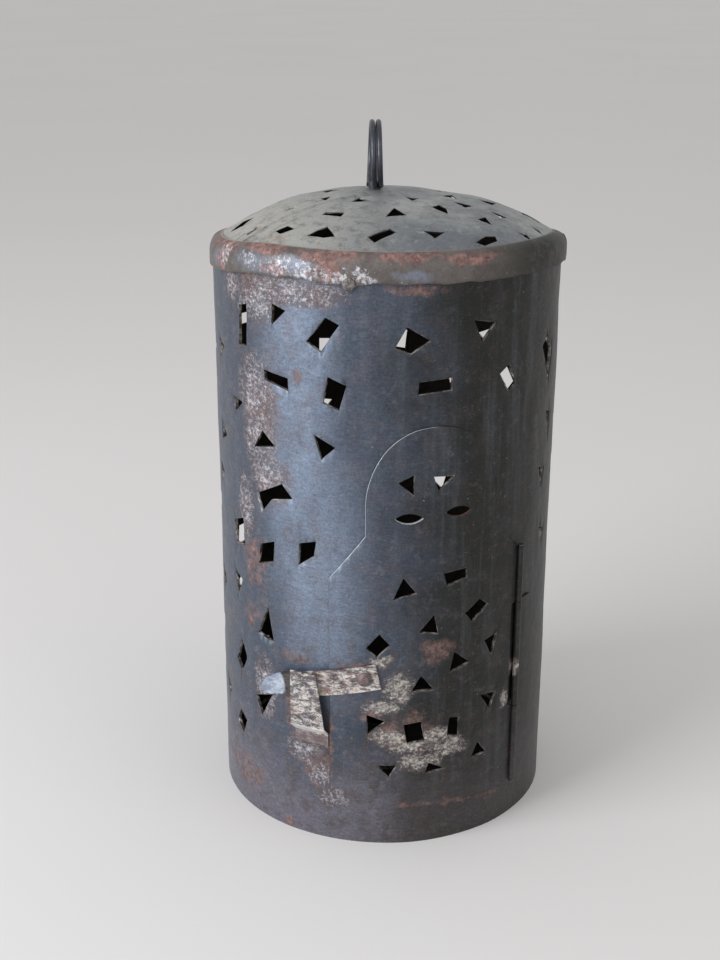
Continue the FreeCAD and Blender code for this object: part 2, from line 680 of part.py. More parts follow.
# The band's wall stands off the drum, and its lip lies on the dome's rim.
band_inner = size.body_radius + size.band_gap
band_outer = band_inner + size.band_tin
band_bottom = size.body_height - size.band_drop
lip_under = dome_rim_top + size.fit_gap
lip_radius = size.body_radius - size.band_lip
lip_low = lip_under + root(dome_radius * dome_radius - lip_radius * lip_radius) - root(
    dome_radius * dome_radius - size.body_radius * size.body_radius)
band_top = lip_low + size.band_tin


def lid_band():
    """A strip round the drum's top, its shoulder rounded in over the dome's rim, with a lapped end."""
    bend = band_outer - size.band_shoulder
    shoulder_up = band_top - size.band_shoulder
    outline = (
        (band_inner, band_bottom),
        (band_outer, band_bottom),
        (band_outer, shoulder_up),
        (bend, band_top, bend, shoulder_up),
        (lip_radius, band_top),
        (lip_radius, lip_low),
        (bend, lip_low),
        (band_inner, shoulder_up, bend, shoulder_up),
    )
    strip = turned("band_strip", outline)
    sweep = arc_angle(size.band_lap, band_outer)
    height = shoulder_up - band_bottom
    middle = band_outer - size.band_tin / 2
    outer = band_outer + size.tin
    lap = ring("band_lap_sheet", middle, outer, height, band_bottom, sweep, size.band_lap_angle)
    return fuse("lid_band", strip, lap)


def lid_solder():
    """Three tacks of solder that hold the band to the drum."""
    tacks = []
    spacing = FULL / tack_count
    for index in range(tack_count):
        angle = size.tack_angle + spacing * index
        across, along = polar(size.body_radius + size.band_gap, angle)
        tack = doc.addObject("Part::Ellipsoid", f"tack_{index}")
        bind(tack, Radius1=size.tack_radius, Radius2=size.tack_stand, Radius3=size.tack_radius)
        tacks.append(place(tack, across, along, band_bottom, facing(angle)))
    height = size.tack_radius * 3
    low = band_bottom - size.tack_radius * 1.5
    drum_room = cylinder("tack_drum_room", size.body_radius + size.fit_gap, height, low)
    inner = band_inner - size.fit_gap
    band_room = ring("tack_band_room", inner, band_outer + size.fit_gap, height, band_bottom - size.fit_gap)
    return cut("lid_solder", fuse("tack_blanks", *tacks), drum_room, band_room)


barrel_across, barrel_along = polar(barrel_axis, hinge_angle)


def knuckle(name, inner, low, high):
    return ring(name, inner, barrel_outer, high - low, low, aside=barrel_across, depth=barrel_along)


def door_panel():
    """The arched sheet, its straight edge rolled into two knuckles round the hinge wire."""
    skin = ring("door_skin", door_inner, door_outer, size.door_top + size.overrun)
    outline = door_outline("door_edge", 0, 0, 0, door_outer.value)
    sheet_part = common("door_sheet", skin, outline)
    notch_sweep = arc_angle(size.notch_depth + size.overrun, size.body_radius)
    notch_start = hinge_angle - arc_angle(size.notch_depth, size.body_radius)
    near = door_inner - size.overrun
    notch = ring("door_notch", near, door_outer + size.overrun, size.strap_top - size.strap_bottom,
                 size.strap_bottom, notch_sweep, notch_start)
    rivet_hole = doc.addObject("Part::Cylinder", "door_rivet_hole")
    bind(rivet_hole, Radius=size.rivet_radius + size.fit_gap, Height=size.overrun * 2)
    rivet_angle = -arc_angle(pivot_offset, size.body_radius).value
    rivet_hole.Placement = FreeCAD.Placement(
        wall_point(near.value, rivet_angle, 0, size.pivot_height.value),
        FreeCAD.Rotation(FreeCAD.Vector(0, 0, 1), wall_point(1, rivet_angle, 0, 0)))
    low = knuckle("door_knuckle_low", barrel_inner, size.door_bottom, size.strap_bottom - size.seat_gap)
    high = knuckle("door_knuckle_high", barrel_inner, size.strap_top + size.seat_gap, size.hinge_side_top)
    return fuse("door_panel", cut("door_pierced", sheet_part, notch, rivet_hole, door_holes()), low, high)


def hinge_pin():
    """The hinge wire, its ends peened over."""
    low = size.door_bottom - size.seat_gap - size.pin_head
    high = size.hinge_side_top + size.seat_gap + size.pin_head
    outline = (
        (NOTHING, low),
        (size.pin_head_radius, low),
        (size.pin_head_radius, low + size.pin_head),
        (size.pin_radius, low + size.pin_head),
        (size.pin_radius, high - size.pin_head),
        (size.pin_head_radius, high - size.pin_head),
        (size.pin_head_radius, high),
        (NOTHING, high),
    )
    return place(turned("hinge_pin", outline), barrel_across, barrel_along)


def hinge_strap():
    """A strip rolled round the middle of the hinge wire, its leaf soldered on the drum."""
    roll = knuckle("strap_roll", barrel_inner, size.strap_bottom, size.strap_top)
    inner = size.body_radius + size.fit_gap
    sweep = arc_angle(size.strap_leaf, size.body_radius)
    height = size.strap_top - size.strap_bottom
    leaf = ring("strap_leaf_sheet", inner, inner + size.tin, height, size.strap_bottom, sweep, hinge_angle)
    return fuse("hinge_strap", roll, leaf)


def strap_solder():
    """Solder along the end of the strap's leaf."""
    start = hinge_angle + arc_angle(size.strap_leaf + size.fit_gap, size.body_radius)
    inner = size.body_radius + size.fit_gap
    sweep = arc_angle(size.solder_width, size.body_radius)
    height = size.strap_top - size.strap_bottom
    return ring("strap_solder", inner, inner + size.solder_height, height, size.strap_bottom, sweep, start)


pivot_angle = -arc_angle(pivot_offset, size.body_radius)
latch_face = door_outer + size.seat_gap
latch_bend = latch_face + size.latch_flattening


def latch_bar():
    """A strip that turns on its rivet, bent a little flatter than the drum, its free end curled
    outwards as a finger tab. It is made facing -Y with its pivot at height zero."""
    tilt = FreeCAD.Vector(0, 1, 0)
    low = -size.latch_width
    reach = arc_angle(size.latch_reach, latch_bend)
    tail = arc_angle(size.latch_tail, latch_bend)
    outer = latch_bend + size.tin
    strip = ring("latch_strip", latch_bend, outer, size.latch_width * 2, low, reach + tail, -reach,
                 depth=size.latch_flattening)
    across, along = polar(outer + size.curl_radius, -reach)
    curl = ring("latch_curl", size.curl_radius, size.curl_radius + size.tin, size.latch_width * 2, low,
                size.curl_sweep, FULL / 2 - reach, across, along + size.latch_flattening)
    half = size.latch_width.value / 2
    tip = size.latch_tip_width.value / 2
    end = size.latch_reach.value + size.curl_radius.value * math.sin(math.radians(size.curl_sweep.value))
    front = -latch_face.value - 2 * size.curl_radius.value
    spots = [(size.latch_tail.value * 2, -half), (-size.latch_reach.value, -half), (-end + tip, -tip)]
    corners = [FreeCAD.Vector(across, front, up) for across, up in spots]
    above = [FreeCAD.Vector(across, front, -up) for across, up in reversed(spots)]
    nose = Part.Arc(corners[-1], FreeCAD.Vector(-end, front, 0), above[0])
    edges = [Part.LineSegment(one, two) for one, two in zip(corners, corners[1:])]
    edges += [nose] + [Part.LineSegment(one, two) for one, two in zip(above, above[1:])]
    edges.append(Part.LineSegment(above[-1], corners[0]))
    face = Part.Face(Part.Wire([edge.toShape() for edge in edges]))
    plan = made("latch_plan", face.extrude(FreeCAD.Vector(0, -front, 0)))
    hole = doc.addObject("Part::Cylinder", "latch_hole")
    bind(hole, Radius=size.rivet_radius + size.pin_clearance, Height=latch_bend + size.overrun)
    hole.Placement = FreeCAD.Placement(FreeCAD.Vector(), FreeCAD.Rotation(FreeCAD.Vector(1, 0, 0), 90))
    flat = common("latch_flat", fuse("latch_sheet", strip, curl), plan)
    sloped = place(flat, turn=-size.latch_slope, about=tilt)
    return place(cut("latch_bar", sloped, hole), up=size.pivot_height, turn=pivot_angle)


def latch_rivet():
    """Its shank passes the latch and the door, and its domed head holds the latch."""
    under = latch_face + size.tin + size.seat_gap
    top = under + size.rivet_head
    inside = door_inner - size.fit_gap * 2 - size.burr_thickness
    edge = under + size.rivet_head / 3
    outline = (
        (NOTHING, -inside),
        (size.rivet_radius, -inside),
        (size.rivet_radius, -under),
        (size.rivet_head_radius, -under),
        (size.rivet_head_radius, -edge),
        (size.rivet_head_radius / 2, -top),
        (NOTHING, -top),
    )
    return place(turned("latch_rivet", outline, "XY_Plane"), up=size.pivot_height, turn=pivot_angle)


def rivet_burr():
    """The small washer that the rivet is closed over, inside the door."""
    near = door_inner - size.fit_gap
    far = near - size.burr_thickness
    bore = size.rivet_radius + size.fit_gap
    outline = ((bore, -near), (bore, -far), (size.burr_radius, -far), (size.burr_radius, -near))
    return place(turned("rivet_burr", outline, "XY_Plane"), up=size.pivot_height, turn=pivot_angle)


keeper_inner = size.body_radius + size.keeper_gap
keeper_sweep = arc_angle(size.keeper_width, size.body_radius)
keeper_start = -(hinge_angle + arc_angle(size.keeper_clear, size.body_radius) + keeper_sweep)


def latch_keeper():
    """A strip soldered to the drum by its foot, standing off it and open at the top."""
    on_drum = size.body_radius + size.fit_gap
    outline = (
        (on_drum, size.keeper_foot),
        (on_drum + size.tin, size.keeper_foot),
        (on_drum + size.tin, size.keeper_bend),
        (keeper_inner + size.tin, size.keeper_face),
        (keeper_inner + size.tin, size.keeper_top),
        (keeper_inner, size.keeper_top),
        (keeper_inner, size.keeper_face + size.tin / 2),
        (on_drum, size.keeper_bend + size.tin / 2),
    )
    blank = place(turned("keeper_strip", outline, sweep=keeper_sweep), turn=facing(keeper_start))
    right = keeper_start.value + keeper_sweep.value
    inner = size.body_radius.value
    narrowing = size.keeper_narrowing.value
    slope = polygon([
        wall_point(inner, right, 0, size.keeper_bend.value),
        wall_point(inner, right, size.overrun.value, size.keeper_bend.value),
        wall_point(inner, right, size.overrun.value, size.keeper_top.value + size.overrun.value),
        wall_point(inner, right, -narrowing, size.keeper_top.value + size.overrun.value),
    ])
    depth = 2 * size.keeper_gap.value + size.overrun.value
    trim = made("keeper_trim", slope.extrude(wall_point(depth, right, 0, 0)))
    return cut("latch_keeper", blank, trim)


def keeper_solder():
    """Solder along the keeper's foot."""
    on_drum = size.body_radius + size.fit_gap
    low = size.keeper_foot - size.fit_gap
    outline = ((on_drum, low), (on_drum, low - size.solder_width), (on_drum + size.solder_height, low))
    return place(turned("keeper_solder", outline, sweep=keeper_sweep), turn=facing(keeper_start))


def arc_mid(start, corner, end):
    """The middle of the arc that leaves start and reaches end along the lines through a corner."""
    middle = (start + end) / 2
    inward = middle - corner
    reach = start.distanceToPoint(corner)
    radius = reach * start.distanceToPoint(middle) / inward.Length
    return corner + inward * ((math.sqrt(radius ** 2 + reach ** 2) - radius) / inward.Length)


def biarc(start, leaving, end, arriving):
    """Two arcs that join two points smoothly with the given directions."""
    across = end - start
    both = leaving + arriving
    bend = 2 * (1 - leaving.dot(arriving))
    along = across.dot(both)
    reach = (math.sqrt(along ** 2 + bend * across.dot(across)) - along) / bend
    first = start + leaving * reach
    second = end - arriving * reach
    join = (first + second) / 2
    near = Part.Arc(start, arc_mid(start, first, join), join)
    return [near, Part.Arc(join, arc_mid(join, second, end), end)]


# The ring's wire makes a little under two turns. Its middle and both its ends are in the collar.
turn_count = 1.96
quarter_count = 8
sample_count = 400
ring_pitch = size.wire_radius * 2 + size.wire_gap
ring_seat = dome_centre + dome_radius
ring_middle = ring_seat + size.seat_gap + size.ring_radius + size.wire_radius


def ring_point(share):
    """A point of the ring's wire and its direction, at a share of the way along it."""
    angle = math.pi * 2 * turn_count * (share - 0.5) - math.pi / 2
    radius = size.ring_radius.value
    drift = ring_pitch.value * turn_count
    point = FreeCAD.Vector(drift * (share - 0.5), radius * math.cos(angle), radius * math.sin(angle))
    turn = math.pi * 2 * turn_count
    along = FreeCAD.Vector(drift, -radius * turn * math.sin(angle), radius * turn * math.cos(angle))
    return point, along.normalize()


def ring_wire():
    """The ring's coil about X, swept along arcs."""
    places = [ring_point(index / quarter_count) for index in range(quarter_count + 1)]
    arcs = []
    for (start, leaving), (end, arriving) in zip(places, places[1:]):
        arcs += biarc(start, leaving, end, arriving)
    path = Part.Wire([arc.toShape() for arc in arcs])
    section = Part.Wire(Part.makeCircle(size.wire_radius.value, *places[0]))
    coil = path.makePipeShell([section], True, False)
    samples = [ring_point(index / sample_count)[0] for index in range(sample_count + 1)]
    half_turn = int(sample_count / turn_count / 2)
    gap = min(one.distanceToPoint(two) for index, one in enumerate(samples)
              for two in samples[index + half_turn:]) - 2 * size.wire_radius.value
    print(f"hanging ring: {turn_count} turns, least gap between turns {gap:.2f} mm")
    return made("ring_coil", coil)


def hanging_ring():
    """The ring, its collar, its stem through the dome and its clinched feet below."""
    coil = place(ring_wire(), up=ring_middle)
    collar = cylinder("ring_collar", size.collar_radius, size.collar_height, ring_seat + size.seat_gap)
    foot_up = ring_seat - size.tin - size.foot_gap - size.wire_radius
    stem = cylinder("ring_stem", size.wire_radius, ring_middle - size.ring_radius - foot_up, foot_up)
    foot = doc.addObject("Part::Cylinder", "ring_feet")
    bind(foot, Radius=size.wire_radius, Height=size.foot_length * 2)
    place(foot, depth=size.foot_length, up=foot_up, turn=QUARTER, about=FreeCAD.Vector(1, 0, 0))
    whole = fuse("hanging_ring", coil, collar, stem, foot)
    return place(whole, size.ring_aside, size.ring_behind, NOTHING, size.ring_turn)


parts = [
    drum(),
    seam_solder(),
    base_plate(),
    base_solder(),
    candle_socket(),
    socket_solder(),
    lid_dome(),
    lid_band(),
    lid_solder(),
    door_panel(),
    hinge_pin(),
    hinge_strap(),
    strap_solder(),
    latch_bar(),
    latch_rivet(),
    rivet_burr(),
    latch_keeper(),
    keeper_solder(),
    hanging_ring(),
]
doc.recompute()

for item in doc.Objects:
    if "Invalid" in item.State or "Error" in item.State:
        raise RuntimeError(f"{item.Label} failed: {item.State}")
for item in parts:
    item.Label = item.Name
    if item.Shape.isNull() or not item.Shape.isValid() or not item.Shape.Solids:
        raise RuntimeError(f"{item.Label} has no sound solid")

os.makedirs("parts", exist_ok=True)
for item in parts:
    item.Shape.exportStep(f"parts/{item.Label}.step")
    print(f"{item.Label}: {len(item.Shape.Solids)} solid, {item.Shape.Volume:.0f} mm3")
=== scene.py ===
# %% [markdown]
# # A punched tin lantern, dressed in Blender
# The lantern is a rolled tin drum with a pierced dome, an arched door and a turn latch. Its pieces
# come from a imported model, one object for each, all in metres and in one frame. This lesson gives
# them their looks: it dents the sheet and draws a burr round each hole, the way a hammer and a punch
# leave it, and paints each piece with a finish made from nodes. The first cell loads the model and
# keeps its box, so that the dressed lantern can be measured against it at the end.

import math

import bmesh
import bpy
from mathutils import Matrix, Vector, noise


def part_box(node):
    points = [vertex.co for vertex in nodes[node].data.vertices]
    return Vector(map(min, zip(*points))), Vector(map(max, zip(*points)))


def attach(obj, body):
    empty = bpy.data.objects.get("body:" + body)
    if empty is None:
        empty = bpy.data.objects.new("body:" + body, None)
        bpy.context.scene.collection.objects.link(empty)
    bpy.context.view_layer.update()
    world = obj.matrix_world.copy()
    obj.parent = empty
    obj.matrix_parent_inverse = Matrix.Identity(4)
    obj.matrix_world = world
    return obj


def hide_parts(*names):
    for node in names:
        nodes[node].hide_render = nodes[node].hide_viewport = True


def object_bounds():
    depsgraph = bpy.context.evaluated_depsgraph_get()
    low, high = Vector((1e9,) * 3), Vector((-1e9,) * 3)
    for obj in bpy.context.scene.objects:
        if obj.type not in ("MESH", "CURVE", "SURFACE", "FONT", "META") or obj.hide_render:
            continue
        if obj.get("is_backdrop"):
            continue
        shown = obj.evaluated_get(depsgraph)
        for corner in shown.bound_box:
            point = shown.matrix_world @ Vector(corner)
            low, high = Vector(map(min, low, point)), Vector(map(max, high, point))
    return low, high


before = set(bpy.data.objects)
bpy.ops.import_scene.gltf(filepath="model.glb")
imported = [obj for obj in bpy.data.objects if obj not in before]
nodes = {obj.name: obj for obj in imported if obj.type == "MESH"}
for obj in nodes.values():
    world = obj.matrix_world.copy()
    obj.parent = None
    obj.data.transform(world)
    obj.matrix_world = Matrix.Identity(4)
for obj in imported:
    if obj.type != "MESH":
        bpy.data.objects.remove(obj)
cad_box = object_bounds()
MM = 0.001

# %% [markdown]
# ## Sizes read from the model
# The sheet is thin, so most places on the lantern are a turn round its axis and a height. A turn is
# counted in degrees from the middle of the door, positive towards the hinge. The radii come from the
# model's own boxes, which keeps every later piece on the drum it belongs to.

# %% Read the main sizes
drum_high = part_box("body_shell")[1]
band_low, band_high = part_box("lid_band")
drum_radius = drum_high.x
drum_top = drum_high.z
band_radius = -band_low.x
sheet = 0.6 * MM
door_gap = 0.3 * MM
print(f"drum {drum_radius / MM:.1f} mm in radius, {drum_top / MM:.1f} mm tall")


def place(turn, up, radius=drum_radius):
    """The point at a turn in degrees, a height and a radius."""
    angle = math.radians(turn)
    return Vector((radius * math.sin(angle), -radius * math.cos(angle), up))


def turn_of(point):
    return math.degrees(math.atan2(point.x, -point.y))


# %% [markdown]
# ## The camera
# The camera looks a little down on the lantern from the latch side. Its distance, height and lens
# are real ones, so the perspective of the drum and of the lid comes out as the eye saw it.

# %% Set up the camera
image_width = 720
image_height = 960
sensor_height = 36.0
focal_pixels = 1466.4
camera_turn = -16.0
camera_distance = 635.6 * MM
camera_elevation = math.radians(19.632)
aim_height = 135.9 * MM
camera_yaw = -0.017  # in radians
camera_roll = math.radians(0.519)

camera_data = bpy.data.cameras.new("camera")
camera_data.sensor_fit = "VERTICAL"
camera_data.sensor_height = sensor_height
camera_data.lens = focal_pixels * sensor_height / image_height
camera = bpy.data.objects.new("camera", camera_data)
bpy.context.scene.collection.objects.link(camera)
bpy.context.scene.camera = camera

forward = Vector((0, math.cos(camera_elevation), -math.sin(camera_elevation)))
right = Vector((1, 0, 0))
upward = right.cross(forward)
place_of_camera = Vector((0, 0, aim_height)) - forward * camera_distance
ahead = forward * math.cos(camera_yaw) + right * math.sin(camera_yaw)
side = right * math.cos(camera_yaw) - forward * math.sin(camera_yaw)
across = side * math.cos(camera_roll) + upward * math.sin(camera_roll)
above = upward * math.cos(camera_roll) - side * math.sin(camera_roll)
view = Matrix((across, above, -ahead)).transposed().to_4x4()
view.translation = place_of_camera
camera.matrix_world = Matrix.Rotation(math.radians(camera_turn), 4, "Z") @ view
print(f"lens {camera_data.lens:.1f} mm for a frame of {image_width} by {image_height}")

# %% [markdown]
# ## The stage
# A wide pale floor, a large soft window on the latch side and a weak fill are enough. The drum is
# dark and half glossy, so it is mostly what it reflects: the window draws the long pale streak down
# its left third, together with a painted highlight in the paint, and the plain room leaves its right
# side dark, together with painted shade in the paint. Where the camera sees the room itself, the
# room takes the tone of the far floor, so that no horizon shows.

# %% Lay the floor and hang the lamps
scene = bpy.context.scene
scene.view_settings.view_transform = "Standard"

# A Mix node has number sockets and colour sockets of the same names, so they are counted.
MIX_NUMBERS = (2, 3)
MIX_COLOURS = (6, 7)
MIX_COLOUR_OUT = 2
floor_radius = 14


def shade(red, green, blue):
    """A colour written as it shows on screen, 0 to 255, turned into light."""
    tones = []
    for value in (red, green, blue):
        tone = value / 255
        tones.append(tone / 12.92 if tone <= 0.04045 else ((tone + 0.055) / 1.055) ** 2.4)
    return (*tones, 1.0)


floor_mesh = bmesh.new()
bmesh.ops.create_circle(floor_mesh, cap_ends=True, segments=96, radius=floor_radius)
floor_data = bpy.data.meshes.new("floor")
floor_mesh.to_mesh(floor_data)
floor_mesh.free()
floor = bpy.data.objects.new("floor", floor_data)
scene.collection.objects.link(floor)
floor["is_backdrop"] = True

world = bpy.data.worlds.new("room")
scene.world = world
world.use_nodes = True
room = world.node_tree.nodes["Background"]
room.inputs["Strength"].default_value = 1.0
seen = world.node_tree.nodes.new("ShaderNodeLightPath")
room_tone = world.node_tree.nodes.new("ShaderNodeMix")
room_tone.data_type = "RGBA"
room_tone.inputs[MIX_COLOURS[0]].default_value = shade(203, 203, 204)
room_tone.inputs[MIX_COLOURS[1]].default_value = shade(187, 186, 185)
world.node_tree.links.new(seen.outputs["Is Camera Ray"], room_tone.inputs["Factor"])
world.node_tree.links.new(room_tone.outputs[MIX_COLOUR_OUT], room.inputs["Color"])


def window(name, turn, distance, height, wide, tall, power, colour=(1, 1, 1)):
    """Hang a soft lamp that faces the lantern's middle."""
    light = bpy.data.lights.new(name, "AREA")
    light.shape = "RECTANGLE"
    light.size = wide
    light.size_y = tall
    light.energy = power
    light.color = colour
    lamp = bpy.data.objects.new(name, light)
    scene.collection.objects.link(lamp)
    lamp.location = place(turn, height, distance)
    aim = Vector((0, 0, drum_top / 2)) - lamp.location
    lamp.rotation_euler = aim.to_track_quat("-Z", "Y").to_euler()


window("window_lamp", turn=-72, distance=1.15, height=0.62, wide=0.75, tall=0.9, power=11,
       colour=(0.93, 0.97, 1.0))
window("fill_lamp", turn=40, distance=1.6, height=1.0, wide=1.2, tall=0.8, power=3.0)
print(f"{len(bpy.data.lights)} lamps over a floor of {floor_radius} m")

# %% [markdown]
# ## A small kit for finishes
# Each finish is a node material that reads Object coordinates, so that nothing slides when a piece
# moves. Drum and door also need coordinates that run round the wall: the turn times the radius, and
# the height. With those a patch of rust is written the way a restorer would note it, as a place on
# the wall and a size. Noise breaks its outline, so no patch looks like a disc.

# %% Helpers that add nodes and hand back their sockets
class Finish:
    """A material in the making. Lengths are in millimetres."""

    def __init__(self, name):
        self.material = bpy.data.materials.new(name)
        self.material.use_nodes = True
        self.tree = self.material.node_tree
        self.shader = self.tree.nodes["Principled BSDF"]
        metres = self.node("ShaderNodeTexCoord").outputs["Object"]
        self.here = self.vector("SCALE", metres, scale=1 / MM)
        apart = self.node("ShaderNodeSeparateXYZ", Vector=self.here).outputs
        self.x, self.y, self.up = apart["X"], apart["Y"], apart["Z"]

    def node(self, kind, **values):
        item = self.tree.nodes.new(kind)
        for name, value in values.items():
            self.feed(item.inputs[name], value)
        return item

    def feed(self, socket, value):
        if isinstance(value, bpy.types.NodeSocket):
            self.tree.links.new(value, socket)
        else:
            socket.default_value = value

    def math(self, operation, *values):
        item = self.tree.nodes.new("ShaderNodeMath")
        item.operation = operation
        for socket, value in zip(item.inputs, values):
            self.feed(socket, value)
        return item.outputs[0]

    def times(self, one, two):
        return self.math("MULTIPLY", one, two)

    def plus(self, one, two):
        return self.math("ADD", one, two)

    def vector(self, operation, *values, scale=None):
        item = self.tree.nodes.new("ShaderNodeVectorMath")
        item.operation = operation
        for socket, value in zip(item.inputs, values):
            self.feed(socket, value)
        if scale is not None:
            self.feed(item.inputs["Scale"], scale)
        return item.outputs["Value" if operation == "LENGTH" else "Vector"]

    def attribute(self, name):
        item = self.node("ShaderNodeAttribute")
        item.attribute_name = name
        return item.outputs["Fac"]

    def noise(self, size, detail=3.0, rough=0.55, stretch=(1, 1, 1), shift=0.0, colour=False):
        """Cloudy values around a half, with lumps of about this size."""
        where = self.vector("MULTIPLY", self.here, Vector(stretch) / size)
        where = self.vector("ADD", where, (shift, shift, shift))
        item = self.node("ShaderNodeTexNoise", Vector=where, Scale=1.0, Detail=detail,
                         Roughness=rough)
        return item.outputs["Color" if colour else "Fac"]

    def step(self, value, low, high):
        """A smooth step from 0 at low to 1 at high."""
        item = self.tree.nodes.new("ShaderNodeMapRange")
        item.interpolation_type = "SMOOTHSTEP"
        self.feed(item.inputs["Value"], value)
        item.inputs["From Min"].default_value = low
        item.inputs["From Max"].default_value = high
        return item.outputs["Result"]

    def blotches(self, low, high, size, detail, rough, shift=0.0):
        """Noise pulled apart into spots: nothing below low, everything above high."""
        return self.step(self.noise(size, detail, rough, shift=shift), low, high)

    def blend(self, share, one, two):
        """A colour between two colours."""
        item = self.tree.nodes.new("ShaderNodeMix")
        item.data_type = "RGBA"
        self.feed(item.inputs["Factor"], share)
        self.feed(item.inputs[MIX_COLOURS[0]], one)
        self.feed(item.inputs[MIX_COLOURS[1]], two)
        return item.outputs[MIX_COLOUR_OUT]

    def cover(self, colour, mask, tone, strength=None):
        """Lay a tone over a colour where the mask is."""
        share = mask if strength is None else self.times(mask, strength)
        return self.blend(share, colour, tone)

    def level(self, share, one, two):
        """A number between two numbers."""
        item = self.tree.nodes.new("ShaderNodeMix")
        self.feed(item.inputs[0], share)
        self.feed(item.inputs[MIX_NUMBERS[0]], one)
        self.feed(item.inputs[MIX_NUMBERS[1]], two)
        return item.outputs[0]

    def dapple(self, colour, share, dark, light):
        """Scale a colour between these two strengths."""
        return self.vector("SCALE", colour, scale=self.level(share, dark, light))

    def unrolled(self, wander):
        """The wall laid flat: along it from the door's middle, and up. Wander roughens every
        outline that is drawn with it."""
        turn = self.math("ARCTAN2", self.x, self.times(self.y, -1.0))
        along = self.times(turn, drum_radius / MM)
        flat = self.node("ShaderNodeCombineXYZ", X=along, Y=self.up).outputs["Vector"]
        drift = self.vector("SUBTRACT", self.noise(9, 4, 0.65, colour=True), (0.5, 0.5, 0.5))
        return self.vector("ADD", flat, self.vector("SCALE", drift, scale=wander))

    def patches(self, flat, places):
        """One in the middle of the nearest patch, falling to nothing at its edge. A patch is a
        turn in degrees, a height, half its width and half its height."""
        nearest = None
        for turn, up, wide, tall in places:
            centre = (math.radians(turn) * drum_radius / MM, up, 0)
            apart = self.vector("SUBTRACT", flat, centre)
            apart = self.vector("MULTIPLY", apart, (1 / wide, 1 / tall, 0))
            inside = self.step(self.vector("LENGTH", apart), 1.0, 0.25)
            nearest = inside if nearest is None else self.math("MAXIMUM", nearest, inside)
        return nearest

    def rust(self, colour, flat, places, size, lift, full, dark, light):
        """Rust that gathers at these places: the rusted colour and the mask of the rust."""
        gathered = self.times(self.patches(flat, places), lift)
        mask = self.step(self.plus(self.noise(size, 8, 0.74, shift=41.0), gathered), 0.56, full)
        tone = self.blend(self.blotches(0.35, 0.65, 2.4, 5, 0.7, shift=5.0), dark, light)
        return self.cover(colour, mask, tone, 0.85), mask

    def relief(self, *layers):
        """Bumps laid on one another. A layer is a height from 0 to 1 and the depth of a 1."""
        normal = None
        for height, distance in layers:
            item = self.node("ShaderNodeBump", Height=height, Distance=distance * MM, Strength=1.0)
            if normal is not None:
                self.feed(item.inputs["Normal"], normal)
            normal = item.outputs["Normal"]
        return normal

    def done(self, colour, metal, rough, normal=None):
        self.feed(self.shader.inputs["Base Color"], colour)
        self.feed(self.shader.inputs["Metallic"], metal)
        self.feed(self.shader.inputs["Roughness"], rough)
        if normal is not None:
            self.feed(self.shader.inputs["Normal"], normal)
        return self.material


# %% [markdown]
# ## The floor's finish
# A matte, pale plaster colour with the faintest clouding. It stays behind the lantern.

# %% Paint the floor
def floor_finish():
    finish = Finish("pale_floor")
    colour = finish.blend(finish.noise(700, 2), shade(230, 227, 225), shade(236, 233, 231))
    return finish.done(colour, 0.0, 0.9)


floor_data.materials.append(floor_finish())

# %% [markdown]
# ## Aged paint on tin
# The drum and the door carry the same old finish: blue-black paint gone satin, bleached to a dusty
# blue bloom on the latch side that also carries a painted highlight of the window, olive-black
# towards the hinge with painted shade laid into it, mottled brown low down, eaten by rust near the
# rim and the latch, and flaked to bright tin. The finish is layered in that order. Each layer has a
# mask made from noise, and a list of places shifts the noise up, so that the layer gathers where it
# does on the real wall and still leaves a few strays elsewhere.

# %% Places on the wall: turn, height, half width and half height in millimetres
bleach_and_highlight_places = ((-46, 180, 25, 110), (-37, 118, 26, 76))
rust_places = (
    (-60, 232, 38, 10), (-38, 231, 14, 7), (-8, 235, 22, 4), (-44, 199, 5, 6),
    (-59, 182, 16, 25), (-56, 152, 15, 14), (-64, 118, 12, 20), (-26, 82.5, 14, 2.6),
    (-47, 81, 12, 4.5), (-48.5, 58, 4, 20), (-38, 33, 14, 15), (-33.4, 42, 2.0, 30),
    (-72, 16, 20, 14), (-50, 3, 8, 3), (-6, 18.5, 13, 3.4), (9, 16.8, 14, 3.4),
    (24, 14.4, 11, 3), (2, 88, 12, 8), (-20, 60, 7, 6), (32, 73, 3, 6), (-66, 92, 8, 8),
    (-8, 52, 22, 14), (140, 30, 30, 14), (200, 228, 26, 9), (110, 90, 14, 18),
    (235, 60, 16, 22),
)
bare_places = (
    (-47, 232, 34, 8), (-60, 226, 19, 12), (-74, 230, 8, 10), (-62, 190, 16, 22),
    (-60, 172, 15, 18), (-56, 156, 15, 14), (-68, 140, 8, 20), (-11, 72, 9, 10),
    (-17, 64, 12, 5), (-14, 50, 13, 6), (-7, 45.5, 13, 5), (2, 50, 12, 6), (6, 43, 12, 6),
    (-4, 38, 14, 6), (-44, 40, 12, 9), (-33, 20, 10, 6), (28, 58, 4, 5.5), (33, 71, 3, 4.5),
    (-16, 85, 8, 4), (-38, 30, 10, 8), (-60, 62, 10, 20), (150, 120, 12, 22),
    (225, 205, 14, 10), (100, 40, 20, 12),
)
band_blue_places = ((-58, 241, 18, 6), (-80, 239, 10, 4), (-44, 242, 16, 5), (-8, 240, 10, 3))
band_rust_places = (
    (-82, 246, 30, 8), (-60, 248, 28, 5), (-34, 246.5, 22, 5), (-10, 247, 22, 3.5),
    (-78, 240, 10, 8), (-52, 240, 9, 4), (-33, 241, 10, 7), (10, 245, 16, 4),
)
band_bare_places = (
    (-76, 242, 8, 7), (-62, 242, 9, 6), (-50, 241, 12, 7), (-40, 240, 14, 8),
    (-31, 238.5, 12, 6), (-22, 240, 8, 5),
)
print(f"{len(rust_places)} places rust and {len(bare_places)} flake on the wall")

# %% [markdown]
# The paint itself comes first. Its tones change from the latch side to the hinge side and from the
# top to the foot, and a slow cloud makes both changes sway, so that neither is a straight line.

